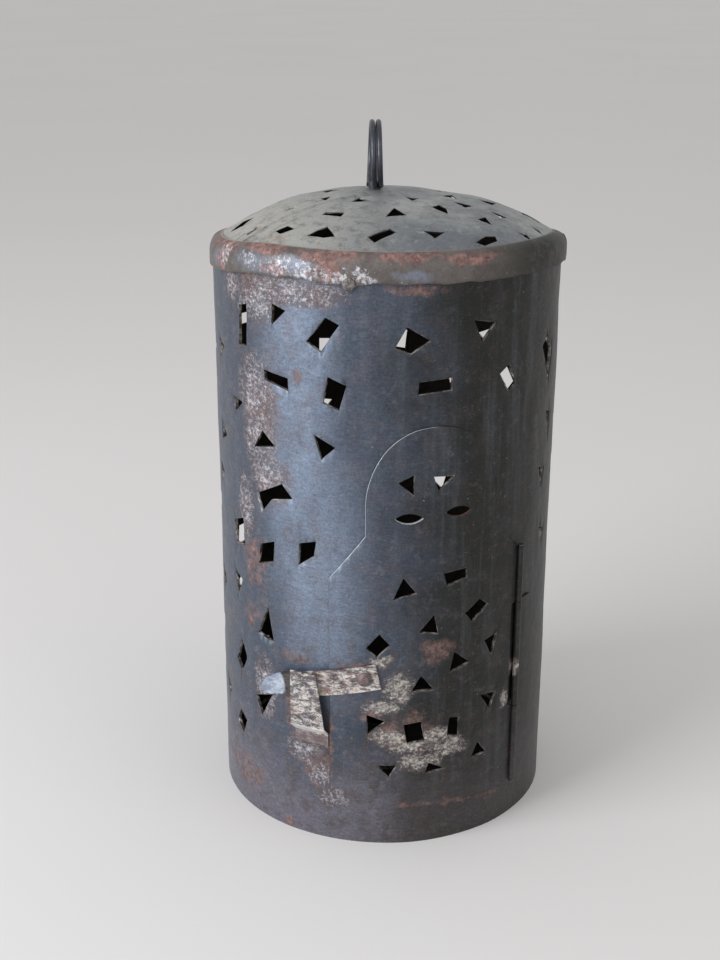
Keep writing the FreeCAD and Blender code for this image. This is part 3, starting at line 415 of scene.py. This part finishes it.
# %% Mix the paint
def old_paint(finish, flat, mottle, grain, streak):
    """The paint where it still holds: bleached, dusty, mottled and scratched, with a painted highlight
    in the bleached strip and painted shade towards the hinge.
    """
    sway = finish.times(finish.math("SUBTRACT", finish.noise(34, 4, 0.6), 0.5), 60.0)
    across = finish.plus(finish.x, sway)
    height = finish.plus(finish.up, sway)
    low = finish.step(height, 130, 30)
    foot = finish.step(height, 58, 8)
    latch_side = finish.step(across, -44, -62)
    # Olive-black towards the hinge and lower down: the paint's own olive, with painted shade of the
    # side away from the window.
    olive_and_shade = finish.step(finish.plus(across, finish.times(low, 14.0)), -34, 16)
    paint = finish.blend(olive_and_shade, shade(75, 84, 99), shade(36, 37, 35))

    # The bleached strip is a dusty blue bloom and also a painted highlight: the window's reflection
    # laid into the colour.
    patchy = finish.blotches(0.3, 0.62, 19, 5, 0.62, shift=14.0)
    strip = finish.patches(flat, bleach_and_highlight_places)
    bleach_and_highlight = finish.times(strip, finish.level(patchy, 0.62, 1.0))
    paint = finish.cover(paint, bleach_and_highlight, shade(123, 136, 156))

    plum = finish.blotches(0.46, 0.7, 10, 5, 0.68, shift=33.0)
    plum_share = finish.level(olive_and_shade, finish.level(latch_side, 0.34, 0.62), 0.24)
    plum_tone = finish.blend(olive_and_shade, shade(108, 100, 107), shade(66, 60, 62))
    paint = finish.cover(paint, finish.times(plum, plum_share), plum_tone)
    paint = finish.cover(paint, finish.step(streak, 0.45, 0.75), shade(118, 124, 132), 0.2)

    dust = finish.blend(olive_and_shade, shade(122, 117, 127), shade(78, 73, 75))
    paint = finish.cover(paint, foot, dust, 0.72)
    brown = finish.times(finish.step(mottle, 0.47, 0.68), finish.level(low, 0.3, 0.75))
    paint = finish.cover(paint, brown, finish.blend(olive_and_shade, shade(90, 80, 80), shade(66, 58, 54)))
    pale = finish.blotches(0.53, 0.72, 5, 6, 0.72, shift=57.0)
    pale_share = finish.level(olive_and_shade, finish.level(low, 0.3, 0.6), 0.14)
    paint = finish.cover(paint, finish.times(pale, pale_share), shade(134, 135, 143))

    scratch = finish.noise(0.8, 3, 0.7, stretch=(0.25, 0.25, 1), shift=19.0)
    paint = finish.dapple(paint, finish.step(grain, 0.28, 0.72), 0.8, 1.2)
    paint = finish.dapple(paint, finish.step(scratch, 0.3, 0.7), 0.86, 1.14)
    specks = finish.blotches(0.72, 0.82, 1.1, 2, 0.5, shift=77.0)
    return finish.cover(paint, specks, shade(150, 147, 142), 0.5)


# %% [markdown]
# Where the paint has flaked, the tin shows in crumbs, in larger chips and in thin veins between
# them. The ground round the flakes is a bruised brown. The flakes are cream beside the latch and
# below it, and whiter everywhere else. An attribute that the mesh carries says where a cut edge is,
# and the paint is rubbed off there.

# %% Flake it, rub it and put the layers together
def flakes(finish, flat, mottle, colour):
    """Flakes down to the tin: the flaked colour and the mask of the flakes."""
    bare_here = finish.patches(flat, bare_places)
    bruised = finish.times(finish.step(bare_here, 0.0, 0.6), finish.level(mottle, 0.1, 0.9))
    colour = finish.cover(colour, bruised, shade(100, 86, 86))

    cream = finish.times(finish.step(finish.up, 104, 88), finish.step(finish.x, -34, -22))
    lift = finish.times(bare_here, finish.level(cream, 0.17, 0.21))
    crumbs = finish.noise(1.6, 6, 0.78, stretch=(0.8, 0.8, 1.15), shift=67.0)
    chips = finish.noise(4.5, 7, 0.76, stretch=(0.75, 0.75, 1.3), shift=91.0)
    flaked = finish.math("MAXIMUM", finish.step(finish.plus(crumbs, lift), 0.62, 0.76),
                         finish.step(finish.plus(chips, lift), 0.7, 0.79))
    folds = finish.math("SUBTRACT", finish.noise(6, 6, 0.7, shift=88.0), 0.5)
    veins = finish.step(finish.math("ABSOLUTE", folds), 0.03, 0.006)
    veins = finish.times(veins, finish.step(bare_here, 0.1, 0.6))
    flaked = finish.math("MAXIMUM", flaked, finish.times(veins, 0.7))

    tin = finish.blend(cream, shade(216, 213, 218), shade(224, 217, 200))
    spread_out = finish.blotches(0.38, 0.64, 1.3, 5, 0.72, shift=9.0)
    tone = finish.blend(spread_out, shade(126, 122, 130), tin)
    return finish.cover(colour, flaked, tone, 0.85), flaked


def aged_paint(name):
    """The finish of the drum's wall and of the door."""
    finish = Finish(name)
    flat = finish.unrolled(wander=8.0)
    mottle = finish.noise(7, 6, 0.7, shift=23.0)
    grain = finish.noise(0.9, 3, 0.7, shift=11.0)
    streak = finish.noise(4.5, 4, 0.6, stretch=(1, 1, 0.06), shift=3.0)

    paint = old_paint(finish, flat, mottle, grain, streak)
    colour, rust = finish.rust(paint, flat, rust_places, size=5, lift=0.26, full=0.86,
                               dark=shade(80, 60, 56), light=shade(144, 114, 106))
    colour, flaked = flakes(finish, flat, mottle, colour)
    rubbed = finish.times(finish.attribute("worn"), finish.level(mottle, 0.75, 1.2))
    colour = finish.cover(colour, finish.step(rubbed, 0.84, 1.05), shade(140, 134, 130), 0.6)

    rough = finish.level(streak, 0.34, 0.5)
    rough = finish.level(rust, rough, 0.8)
    rough = finish.level(flaked, rough, 0.5)
    metal = finish.level(rust, 0.5, 0.05)
    metal = finish.level(flaked, metal, 0.3)
    crust = finish.math("SUBTRACT", finish.times(rust, 0.6), flaked)
    relief = finish.relief((finish.noise(13, 4, 0.55, shift=2.0), 0.7), (mottle, 0.14),
                           (grain, 0.05), (crust, 0.12))
    return finish.done(colour, metal, rough, relief)


wall_paint = aged_paint("wall_paint")
print(f"mixed the wall's paint from {len(wall_paint.node_tree.nodes)} nodes")


# %% [markdown]
# ## The lid's finishes
# The dome is dusty and matte, and painted palest at the left where it faces the window, which is
# painted light. The band has lost most of its paint: red rust on the left and along the top, flaked
# tin in the middle, olive-black on the right, which also paints the shade of the side away from the
# window. Its inner lip is dusty, and painted pale over its shade, palest at the left.

# %% Finishes for the dome and the band
def dome_dust_and_light():
    finish = Finish("dome_dust_and_light")
    cloud = finish.noise(20, 5, 0.62)
    mottle = finish.noise(5, 6, 0.7, shift=31.0)
    fine = finish.noise(1.0, 4, 0.7, shift=7.0)
    lean = finish.plus(finish.x, finish.times(finish.math("SUBTRACT", cloud, 0.5), 50.0))
    # Painted light: the dome is painted palest at the left, where it faces the window.
    left = finish.step(lean, 0, -60)
    front = finish.step(finish.plus(finish.y, finish.times(cloud, 24.0)), -22, -48)

    colour = finish.blend(finish.step(cloud, 0.3, 0.7), shade(120, 123, 125),
                          shade(164, 166, 164))
    colour = finish.cover(colour, front, shade(96, 102, 110), 0.75)
    colour = finish.cover(colour, left, shade(172, 170, 164))
    colour = finish.cover(colour, finish.step(mottle, 0.48, 0.68), shade(86, 86, 80), 0.55)
    pale = finish.blotches(0.52, 0.7, 4, 6, 0.72, shift=57.0)
    colour = finish.cover(colour, pale, shade(168, 170, 164), 0.5)
    colour = finish.dapple(colour, fine, 0.6, 1.4)
    rust_cloud = finish.plus(finish.noise(6, 6, 0.7, shift=61.0), finish.times(left, 0.12))
    colour = finish.cover(colour, finish.step(rust_cloud, 0.66, 0.78), shade(140, 110, 88), 0.5)
    relief = finish.relief((finish.noise(9, 4, 0.6, shift=4.0), 0.6), (mottle, 0.2), (fine, 0.06))
    return finish.done(colour, 0.25, finish.level(cloud, 0.42, 0.62), relief)


def rusted_band():
    finish = Finish("rusted_band")
    flat = finish.unrolled(wander=9.0)
    mottle = finish.noise(6, 6, 0.72)
    fine = finish.noise(1.0, 4, 0.7, shift=7.0)
    # Darker towards the right: the band's olive-black, and painted shade of the side away from the
    # window.
    dark = finish.step(finish.plus(finish.x, finish.times(mottle, 12.0)), 8, 54)

    colour = finish.blend(dark, shade(108, 102, 98), shade(32, 32, 27))
    stain = finish.blend(dark, shade(88, 80, 77), shade(70, 67, 59))
    colour = finish.cover(colour, finish.step(mottle, 0.45, 0.62), stain, 0.7)
    blue = finish.patches(flat, band_blue_places)
    colour = finish.cover(colour, blue, shade(126, 134, 150), 0.7)
    colour = finish.dapple(colour, fine, 0.6, 1.4)
    colour, rust = finish.rust(colour, flat, band_rust_places, size=4.5, lift=0.28, full=0.84,
                               dark=shade(96, 66, 62), light=shade(168, 126, 118))

    gathered = finish.times(finish.patches(flat, band_bare_places), 0.17)
    flaked = finish.plus(finish.noise(1.8, 7, 0.76, shift=67.0), gathered)
    tone = finish.blend(finish.blotches(0.35, 0.65, 1.5, 4, 0.7, shift=9.0),
                        shade(128, 130, 142), shade(230, 228, 230))
    colour = finish.cover(colour, finish.step(flaked, 0.61, 0.73), tone, 0.85)

    squares = finish.plus(finish.times(finish.x, finish.x), finish.times(finish.y, finish.y))
    reach = finish.plus(finish.math("SQRT", squares), finish.times(mottle, 1.2))
    lip = band_radius / MM - 5.0
    # The inner lip is dusty, and painted pale over the shade it lies in, palest at the left.
    dust_and_light = finish.blend(finish.step(finish.x, 30, -40), shade(112, 112, 104),
                         shade(166, 158, 142))
    colour = finish.cover(colour, finish.step(reach, lip + 1.2, lip), dust_and_light, 0.85)
    crust = finish.plus(fine, finish.times(rust, 0.8))
    relief = finish.relief((finish.noise(8, 4, 0.6, shift=4.0), 0.5), (mottle, 0.25), (crust, 0.1))
    return finish.done(colour, finish.level(rust, 0.4, 0.05), finish.level(rust, 0.46, 0.8), relief)


# %% [markdown]
# ## The small finishes
# The latch is rust brown with cream flakes. Its tab is polished where fingers rub it and is
# painted pale with a highlight, and the strip carries a painted shadow just behind the tab. The
# keeper is greyer, and bare in a strip where it bends in to its foot. Cut edges, where the punch
# bared the tin, are pale. The wire is dark iron.

# %% Finishes for the latch, the edges, the wire, the solder and the inside
def flaked_tin(name, fresh, grey=0.0, tab=None, bare_from=None, flaked_below=None):
    """Worn tin. More of it is flaked with a larger fresh. Tab is the tip of the polished tab, round
    which a painted highlight and a ring of painted shadow are laid, and the other two are heights:
    where the keeper's bare strip starts, and below where a piece is flaked more."""
    finish = Finish(name)
    mottle = finish.noise(4, 6, 0.7)
    base = finish.blend(grey, shade(134, 112, 110), shade(104, 102, 112))
    colour = finish.blend(finish.step(mottle, 0.4, 0.62), shade(82, 77, 84), base)
    rust = finish.blotches(0.5, 0.66, 3.5, 6, 0.72, shift=13.0)
    colour = finish.cover(colour, rust, shade(136, 98, 86), 0.75 - 0.4 * grey)

    flake_cloud = finish.noise(3.2, 8, 0.8, stretch=(0.6, 0.6, 1.5), shift=51.0)
    if flaked_below is not None:
        lower = finish.step(finish.plus(finish.up, finish.times(mottle, 4.0)),
                            flaked_below + 3, flaked_below - 2)
        flake_cloud = finish.plus(flake_cloud, finish.times(lower, 0.07))
    flaked = finish.step(flake_cloud, 1 - fresh, 1.12 - fresh)
    tone = finish.blend(finish.blotches(0.48, 0.66, 2.5, 5, 0.7, shift=17.0),
                        shade(222, 218, 214), shade(196, 168, 132))
    tone = finish.cover(tone, finish.blotches(0.5, 0.66, 0.9, 4, 0.7, shift=29.0),
                        shade(128, 120, 124))
    colour = finish.cover(colour, flaked, tone, 0.9)

    if bare_from is not None:
        ragged = finish.plus(finish.up, finish.times(finish.noise(2, 5, 0.7), 1.6))
        strip = finish.times(finish.step(ragged, bare_from, bare_from + 0.8),
                             finish.step(ragged, bare_from + 4.6, bare_from + 3.8))
        colour = finish.cover(colour, strip, shade(226, 223, 220), 0.85)
        foot = finish.step(ragged, bare_from + 0.2, bare_from - 0.4)
        colour = finish.cover(colour, foot, shade(118, 100, 102), 0.8)
    rough = finish.level(flaked, 0.55, 0.48)
    metal = finish.level(flaked, 0.35, 0.2)
    if tab is not None:
        apart = finish.vector("LENGTH", finish.vector("SUBTRACT", finish.here, tuple(tab / MM)))
        near = finish.plus(apart, finish.times(mottle, 3.0))
        # A ring of painted shadow just behind the tab, where the strip passes under the keeper.
        colour = finish.cover(colour, finish.step(near, 19, 15.5), shade(44, 40, 40), 0.9)
        # The tab is polished where fingers rub it, and its pale blue colour is also a painted
        # highlight.
        rubbed = finish.step(near, 11.6, 10.6)
        polish_and_highlight = finish.blend(finish.step(mottle, 0.4, 0.6), shade(160, 172, 194),
                              shade(214, 222, 236))
        colour = finish.cover(colour, rubbed, polish_and_highlight)
        rough = finish.level(rubbed, rough, 0.36)
        metal = finish.level(rubbed, metal, 0.35)
    crust = finish.plus(finish.noise(1.2, 4, 0.6), finish.times(flaked, 0.8))
    return finish.done(colour, metal, rough, finish.relief((crust, 0.14)))


def cut_edge():
    """The sheet's sheared edge, where the tin is bare."""
    finish = Finish("cut_edge")
    worn = finish.blotches(0.42, 0.64, 3, 5, 0.7)
    return finish.done(finish.blend(worn, shade(66, 60, 57), shade(166, 160, 154)), 0.25, 0.5)


def door_edge():
    """The door's own edge: a painted highlight up the left of the arch, where it faces the window, and
    brown everywhere else.
    """
    finish = Finish("door_edge")
    mottle = finish.noise(4, 5, 0.7)
    lean = finish.plus(finish.x, finish.times(mottle, 10.0))
    # Painted highlight on the upper left of the arch's edge, which faces the window.
    painted_highlight = finish.times(finish.step(lean, 8, 2), finish.step(finish.up, 116, 122))
    edge_brown = finish.blend(mottle, shade(80, 62, 54), shade(122, 96, 82))
    return finish.done(finish.cover(edge_brown, painted_highlight, shade(196, 197, 198)), 0.25, 0.5)


def dark_wire():
    finish = Finish("dark_wire")
    colour = finish.blend(finish.noise(5, 5, 0.6), shade(60, 62, 68), shade(96, 98, 106))
    worn = finish.blotches(0.6, 0.7, 2.2, 5, 0.7, shift=3.0)
    colour = finish.cover(colour, worn, shade(140, 132, 132))
    return finish.done(colour, 0.75, 0.34, finish.relief((finish.noise(1.5, 4, 0.6), 0.12)))


def dull_solder():
    finish = Finish("dull_solder")
    tone = finish.blotches(0.42, 0.62, 2.2, 6, 0.75)
    colour = finish.blend(tone, shade(84, 74, 70), shade(140, 136, 134))
    return finish.done(colour, 0.4, 0.5, finish.relief((finish.noise(1.6, 4, 0.6), 0.25)))


def sooted_and_shaded_tin():
    """The inside, brown-black with smoke and with painted shade."""
    finish = Finish("sooted_and_shaded_tin")
    colour = finish.blend(finish.noise(9, 6, 0.65), shade(34, 32, 31), shade(66, 58, 52))
    return finish.done(colour, 0.4, 0.65, finish.relief((finish.noise(2.5, 5, 0.6), 0.15)))


latch_low, latch_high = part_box("latch_bar")
latch_middle = (latch_low + latch_high) / 2
tab_tip = Vector((latch_low.x, latch_high.y, latch_low.z + 4 * MM))
keeper_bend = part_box("latch_keeper")[0].z / MM + 5.6
finishes = {
    "wall": wall_paint,
    "dome": dome_dust_and_light(),
    "band": rusted_band(),
    "latch": flaked_tin("latch_tin", fresh=0.55, tab=tab_tip, flaked_below=latch_middle.z / MM),
    "rivet": flaked_tin("rivet_tin", fresh=0.42),
    "keeper": flaked_tin("keeper_tin", fresh=0.555, grey=0.8, bare_from=keeper_bend),
    "edge": cut_edge(),
    "door edge": door_edge(),
    "wire": dark_wire(),
    "solder": dull_solder(),
    "inside": sooted_and_shaded_tin(),
}
print(f"{len(finishes)} finishes, tab at", [round(value / MM, 1) for value in tab_tip])


# %% [markdown]
# ## Sheet that was hammered by hand
# A CAD wall is a perfect cylinder, and its few long triangles can't bend. So the drum, the door and
# the lid are shown by copies. A copy is merged, then cut by level planes and by planes through the
# axis until no face is larger than a fingertip. After that a smooth random field pushes the sheet
# in and out by a millimetre or less, which is what bends the reflections of the real one.

# %% Cut and dent a copy of a sheet
join_distance = 0.002 * MM
cut_tolerance = 0.001 * MM


def merged_copy(node):
    mesh = bmesh.new()
    mesh.from_mesh(nodes[node].data)
    bmesh.ops.remove_doubles(mesh, verts=mesh.verts, dist=join_distance)
    return mesh


def slice_up(mesh, low, high, up_step, turn_step):
    """Cut a mesh by level planes and by planes through the axis."""
    planes = []
    level = low + up_step
    while level < high:
        planes.append((Vector((0, 0, level)), Vector((0, 0, 1))))
        level += up_step
    for index in range(int(180 / turn_step)):
        angle = math.radians(index * turn_step)
        planes.append((Vector(), Vector((math.cos(angle), math.sin(angle), 0))))
    for point, normal in planes:
        everything = mesh.verts[:] + mesh.edges[:] + mesh.faces[:]
        bmesh.ops.bisect_plane(mesh, geom=everything, dist=cut_tolerance, plane_co=point,
                               plane_no=normal)


def waves(point, density, shift=(0, 0, 0)):
    """Smooth random values around 0. A larger density packs the waves closer."""
    return noise.noise(point * density + Vector(shift))


def dent_depth(point):
    """How far the wall is pushed out at a point: broad waves and a few smaller ones."""
    return (waves(point, 14, (1, 0, 0)) * 0.6 + waves(point, 45, (0, 1, 0)) * 0.22) * MM


def outward(point):
    return Vector((point.x, point.y, 0)).normalized()


def spread(point):
    return math.hypot(point.x, point.y)


# %% [markdown]
# The lid was knocked down at both sides, and hangs about four millimetres lower there. It is also
# pressed in behind the ring. The top of the drum gives way with it, so that the wall doesn't stand
# out of the lid.

# %% How far the lid hangs at its sides and behind
latch_sag = (52, 92, 3.8 * MM)
hinge_sag = (30, 115, 4.2 * MM)
sag_ends = (180, 135)
behind_ring = place(164, 0, 1)
hinge_way = place(74, 0, 1)


def smooth_step(value, low, high):
    share = min(max((value - low) / (high - low), 0), 1)
    return share * share * (3 - 2 * share)


def sunk_behind(point):
    """How far the lid is pressed in behind the ring, more on the hinge side."""
    aside = point.dot(hinge_way)
    deeper_right = 1.6 * smooth_step(aside, 0, 35 * MM)
    deeper_left = 1.2 * smooth_step(aside, -10 * MM, -40 * MM)
    depth = (2.0 + deeper_right + deeper_left) * MM
    return depth * smooth_step(point.dot(behind_ring), 0, 45 * MM)


def droop(point):
    """How far a point of the lid hangs: nothing in front, most beside the axis. A sag is the turn
    where it starts, the turn where it is full, and its depth. Both end at the back."""
    turn = turn_of(point)
    start, full, depth = latch_sag if turn < 0 else hinge_sag
    sunk = smooth_step(abs(turn), start, full) * smooth_step(abs(turn), *sag_ends)
    return depth * sunk * smooth_step(spread(point), 35 * MM, drum_radius)


# %% [markdown]
# A punch drags the tin inwards and leaves a thin burr round each hole, drawn a little together
# because the punch was tapered. Both catch the light, and they make the pale line under each hole.
# The walls of the holes are found by their faces, which look sideways, while the sheet looks out or
# in. They are sorted into holes by walking from face to face. A group of more than sixty faces is
# the outline of a sheet.

# %% Find the holes' walls and draw the burrs
square_on = 0.6
most_hole_faces = 60
widest_hole = 20 * MM
dished = 0.25 * MM


def sideways(face, out=outward):
    """True for the cut edge of a sheet, whose face looks neither out nor in."""
    return abs(face.normal.dot(out(face.calc_center_median()))) < square_on


def islands(faces):
    """Groups of faces that touch one another."""
    left = set(faces)
    groups = []
    while left:
        group = []
        waiting = [left.pop()]
        while waiting:
            face = waiting.pop()
            group.append(face)
            for edge in face.edges:
                for other in edge.link_faces:
                    if other in left:
                        left.remove(other)
                        waiting.append(other)
        groups.append(group)
    return groups


def draw_burrs(groups, past_middle, out, depth, pinch):
    """Push the inner rim of each hole in and together, and dish its outer rim. A point's distance
    past the middle of the sheet tells the two rims apart."""
    count = 0
    for group in groups:
        corners = {vertex for face in group for vertex in face.verts}
        centre = sum((vertex.co for vertex in corners), Vector()) / len(corners)
        if max((vertex.co - centre).length for vertex in corners) > widest_hole:
            continue
        count += 1
        for vertex in corners:
            away = out(vertex.co)
            if past_middle(vertex.co) < 0:
                together = centre - vertex.co
                together -= away * together.dot(away)
                vertex.co += together.normalized() * pinch - away * depth
            else:
                vertex.co -= away * dished
    return count


def mark_worn(mesh, faces):
    """Give the vertices of these faces a 1 in the attribute that the paint reads."""
    layer = mesh.verts.layers.float.new("worn")
    for face in faces:
        for vertex in face.verts:
            vertex[layer] = 1.0


def show_sheet(mesh, node, name, paint, body, edges, inside=(), outline=(), sharp=35):
    """Make the finished sheet an object that stands for its node. The three groups of faces get
    the finishes of a cut edge, of the inside and of the door's edge."""
    for face in mesh.faces:
        face.smooth = True
    for index, faces in enumerate((edges, inside, outline), start=1):
        for face in faces:
            face.material_index = index
    data = bpy.data.meshes.new(name)
    mesh.to_mesh(data)
    mesh.free()
    data.set_sharp_from_angle(angle=math.radians(sharp))
    piece = bpy.data.objects.new(name, data)
    scene.collection.objects.link(piece)
    for finish_name in (paint, "edge", "inside", "door edge"):
        data.materials.append(finishes[finish_name])
    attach(piece, body)
    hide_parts(node)
    print(f"{name}: {len(data.polygons)} faces")


# %% [markdown]
# ## The drum and the door
# Cutting leaves the new vertices on the flats between the old ones, so those of the wall are put
# back on its curve. Only the drum is dented: the door and its rolled knuckles keep their true
# curve, so that it still shuts and swings, and its edges are flared a touch, as shears leave them.
# The top of the wall sinks with the band's shoulder, which is rolled in over it.

# %% Dress the drum and the door
rolled_in = 3.2 * MM
on_curve = 0.12 * MM
knuckle_reach = 2.6 * MM
pin_low, pin_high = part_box("hinge_pin")
pin_axis = (pin_low + pin_high) / 2


def off_the_hinge(point):
    return math.hypot(point.x - pin_axis.x, point.y - pin_axis.y) > knuckle_reach


def wall_sheet(node, name, outer, dent, flare, body):
    """Dress a sheet of the drum's wall. Its outer face has this radius."""
    low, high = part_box(node)
    middle = outer - sheet / 2
    mesh = merged_copy(node)
    slice_up(mesh, low.z, high.z, up_step=4.5 * MM, turn_step=3.0)
    for vertex in mesh.verts:
        for radius in (outer, outer - sheet):
            if abs(spread(vertex.co) - radius) < on_curve and off_the_hinge(vertex.co):
                vertex.co.xy *= radius / spread(vertex.co)
    mesh.normal_update()

    edges = []
    inside = []
    for face in mesh.faces:
        centre = face.calc_center_median()
        if sideways(face) and off_the_hinge(centre):
            edges.append(face)
        # Faces that look inwards take the soot finish, which is also painted shade.
        if face.normal.dot(outward(centre)) < -square_on and spread(centre) < middle:
            inside.append(face)
    groups = islands(edges)
    outline = [face for group in groups for face in group if len(group) > most_hole_faces]
    mark_worn(mesh, set(edges) - set(outline))

    pushes = {vertex: dent_depth(vertex.co) * dent for vertex in mesh.verts}
    holes = draw_burrs(groups, lambda point: spread(point) - middle, outward,
                       depth=0.8 * MM, pinch=0.2 * MM)
    rim = {vertex for face in outline for vertex in face.verts}
    for vertex, push in pushes.items():
        vertex.co += outward(vertex.co) * (push + (flare if vertex in rim else 0))
        under_band = smooth_step(vertex.co.z, band_low.z - 4 * MM, drum_top)
        vertex.co.z -= (droop(vertex.co) + rolled_in) * under_band
    print(f"{name}: {holes} holes")
    show_sheet(mesh, node, name, "wall", body, edges, inside, outline)


wall_sheet("body_shell", "drum_wall", outer=drum_radius, dent=1.0, flare=0, body="lantern")
wall_sheet("door_panel", "door_sheet", outer=drum_radius + door_gap + sheet, dent=0.0,
           flare=0.12 * MM, body="door")

# %% [markdown]
# ## The lid
# The dome is part of a large sphere. Its centre follows from its box: the top of the ball is the top
# of the box, and the rim passes through the drum's radius. Its copy is cut the same way and dented
# more deeply, because the thin dome was knocked about most. Soot lines the holes and the underside,
# and stands in for painted shade there as well.

# %% Dress the dome
dome_low, dome_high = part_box("lid_dome")
rim_radius = -dome_low.x
rise = dome_high.z - dome_low.z - sheet
ball_radius = (rim_radius ** 2 + rise ** 2) / (2 * rise)
ball_centre = Vector((0, 0, dome_high.z - ball_radius))
ring_foot = (6 * MM, 16 * MM)
rim_start = 55 * MM
pressed_from = 56 * MM
pressed_full = 67 * MM


def off_the_ball(point):
    return (point - ball_centre).normalized()


def dome_dent(point):
    """Broad hollows and small wrinkles, and the rim pressed down under the band's lip. The dents
    fade at the ring's foot and towards the rim."""
    reach = spread(point)
    dents = waves(point, 22, (7, 0, 0)) * 0.7 + waves(point, 70, (0, 7, 0)) * 0.4
    inner = smooth_step(reach, *ring_foot) * smooth_step(reach, drum_radius, rim_start)
    pressed = smooth_step(reach, pressed_from, pressed_full) * 1.4
    pressed += smooth_step(reach, pressed_full, drum_radius)
    return (dents * inner - pressed) * MM - sunk_behind(point)


def dressed_dome():
    mesh = merged_copy("lid_dome")
    slice_up(mesh, dome_low.z, dome_high.z, up_step=1.2 * MM, turn_step=4.5)
    mesh.normal_update()
    groups = islands([face for face in mesh.faces if sideways(face, off_the_ball)])
    pushes = {vertex: dome_dent(vertex.co) for vertex in mesh.verts}
    middle = ball_radius - sheet / 2
    holes = draw_burrs(groups, lambda point: (point - ball_centre).length - middle, off_the_ball,
                       depth=0.3 * MM, pinch=-0.4 * MM)
    for vertex, push in pushes.items():
        vertex.co.z += push - droop(vertex.co)
    print(f"dome: {holes} holes, ball of {ball_radius / MM:.0f} mm")
    # The holes' walls and the underside take the soot finish, which is also painted shade.
    inside = [face for group in groups if len(group) < most_hole_faces for face in group]
    inside += [face for face in mesh.faces if face.normal.z < -square_on]
    show_sheet(mesh, "lid_dome", "dome_sheet", "dome", "lantern", (), inside)


dressed_dome()

# %% [markdown]
# The band is a strip bent round the rim. The real one waves: its lower edge wanders by a millimetre,
# its face is beaten, and its shoulder is rolled in over the dome. Behind the ring its lip is tucked
# down with the lid.

# %% Dress the band
lip_tuck = 1.2 * MM
edge_band = 6 * MM
shoulder = 7 * MM
face_reach = (69 * MM, 72 * MM)
tuck_reach = (-25 * MM, 10 * MM)


def dressed_band():
    mesh = merged_copy("lid_band")
    slice_up(mesh, band_low.z, band_high.z, up_step=1.6 * MM, turn_step=2.5)
    mesh.normal_update()
    edges = [face for face in mesh.faces
             if face.normal.z < -0.7 and face.calc_center_median().z < band_low.z + MM]
    for vertex in mesh.verts:
        lower = smooth_step(vertex.co.z, band_low.z + edge_band, band_low.z)
        upper = min(max((vertex.co.z - band_high.z) / shoulder + 1, 0), 1) ** 2
        away = outward(vertex.co)
        wave = waves(away, 5, (0, 0, 3)) + waves(away, 16) * 0.5
        beaten = waves(vertex.co, 60, (3, 0, 0)) * 0.35 + waves(vertex.co, 20) * 0.5
        on_face = smooth_step(spread(vertex.co), *face_reach)
        tucked = lip_tuck * smooth_step(vertex.co.dot(behind_ring), *tuck_reach)
        tucked += sunk_behind(vertex.co)
        vertex.co.z += wave * lower * MM - droop(vertex.co) - tucked * upper
        vertex.co += away * (beaten * MM * on_face - rolled_in * upper)
    show_sheet(mesh, "lid_band", "band_strip", "band", "lantern", edges, sharp=50)


dressed_band()

# %% [markdown]
# ## Finishes for the pieces that keep their CAD shape
# The rest of the pieces are right as they are and only need their finish.

# %% Paint the remaining pieces
painted = {
    "hanging_ring": "wire", "hinge_pin": "wire",
    "hinge_strap": "wall", "strap_solder": "wall",
    "latch_bar": "latch", "latch_rivet": "rivet", "rivet_burr": "rivet", "latch_keeper": "keeper",
    "side_seam_solder": "solder", "base_solder": "solder", "socket_solder": "solder",
    "lid_solder": "solder", "keeper_solder": "solder",
    "base_plate": "inside", "candle_socket": "inside",
}
for node, finish_name in painted.items():
    nodes[node].data.materials.clear()
    nodes[node].data.materials.append(finishes[finish_name])
print(f"painted {len(painted)} more pieces")

# %% [markdown]
# ## Measure and finish
# The dressed lantern is measured against the imported model's box, and the last line prints how
# much the box grew. The dressed lantern has to stay inside the imported model's box.

# %% Measure how much the box grew
dressed_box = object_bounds()
growth = (dressed_box[1] - dressed_box[0]) - (cad_box[1] - cad_box[0])
print("box grew by", [round(value / MM, 2) for value in growth], "mm")
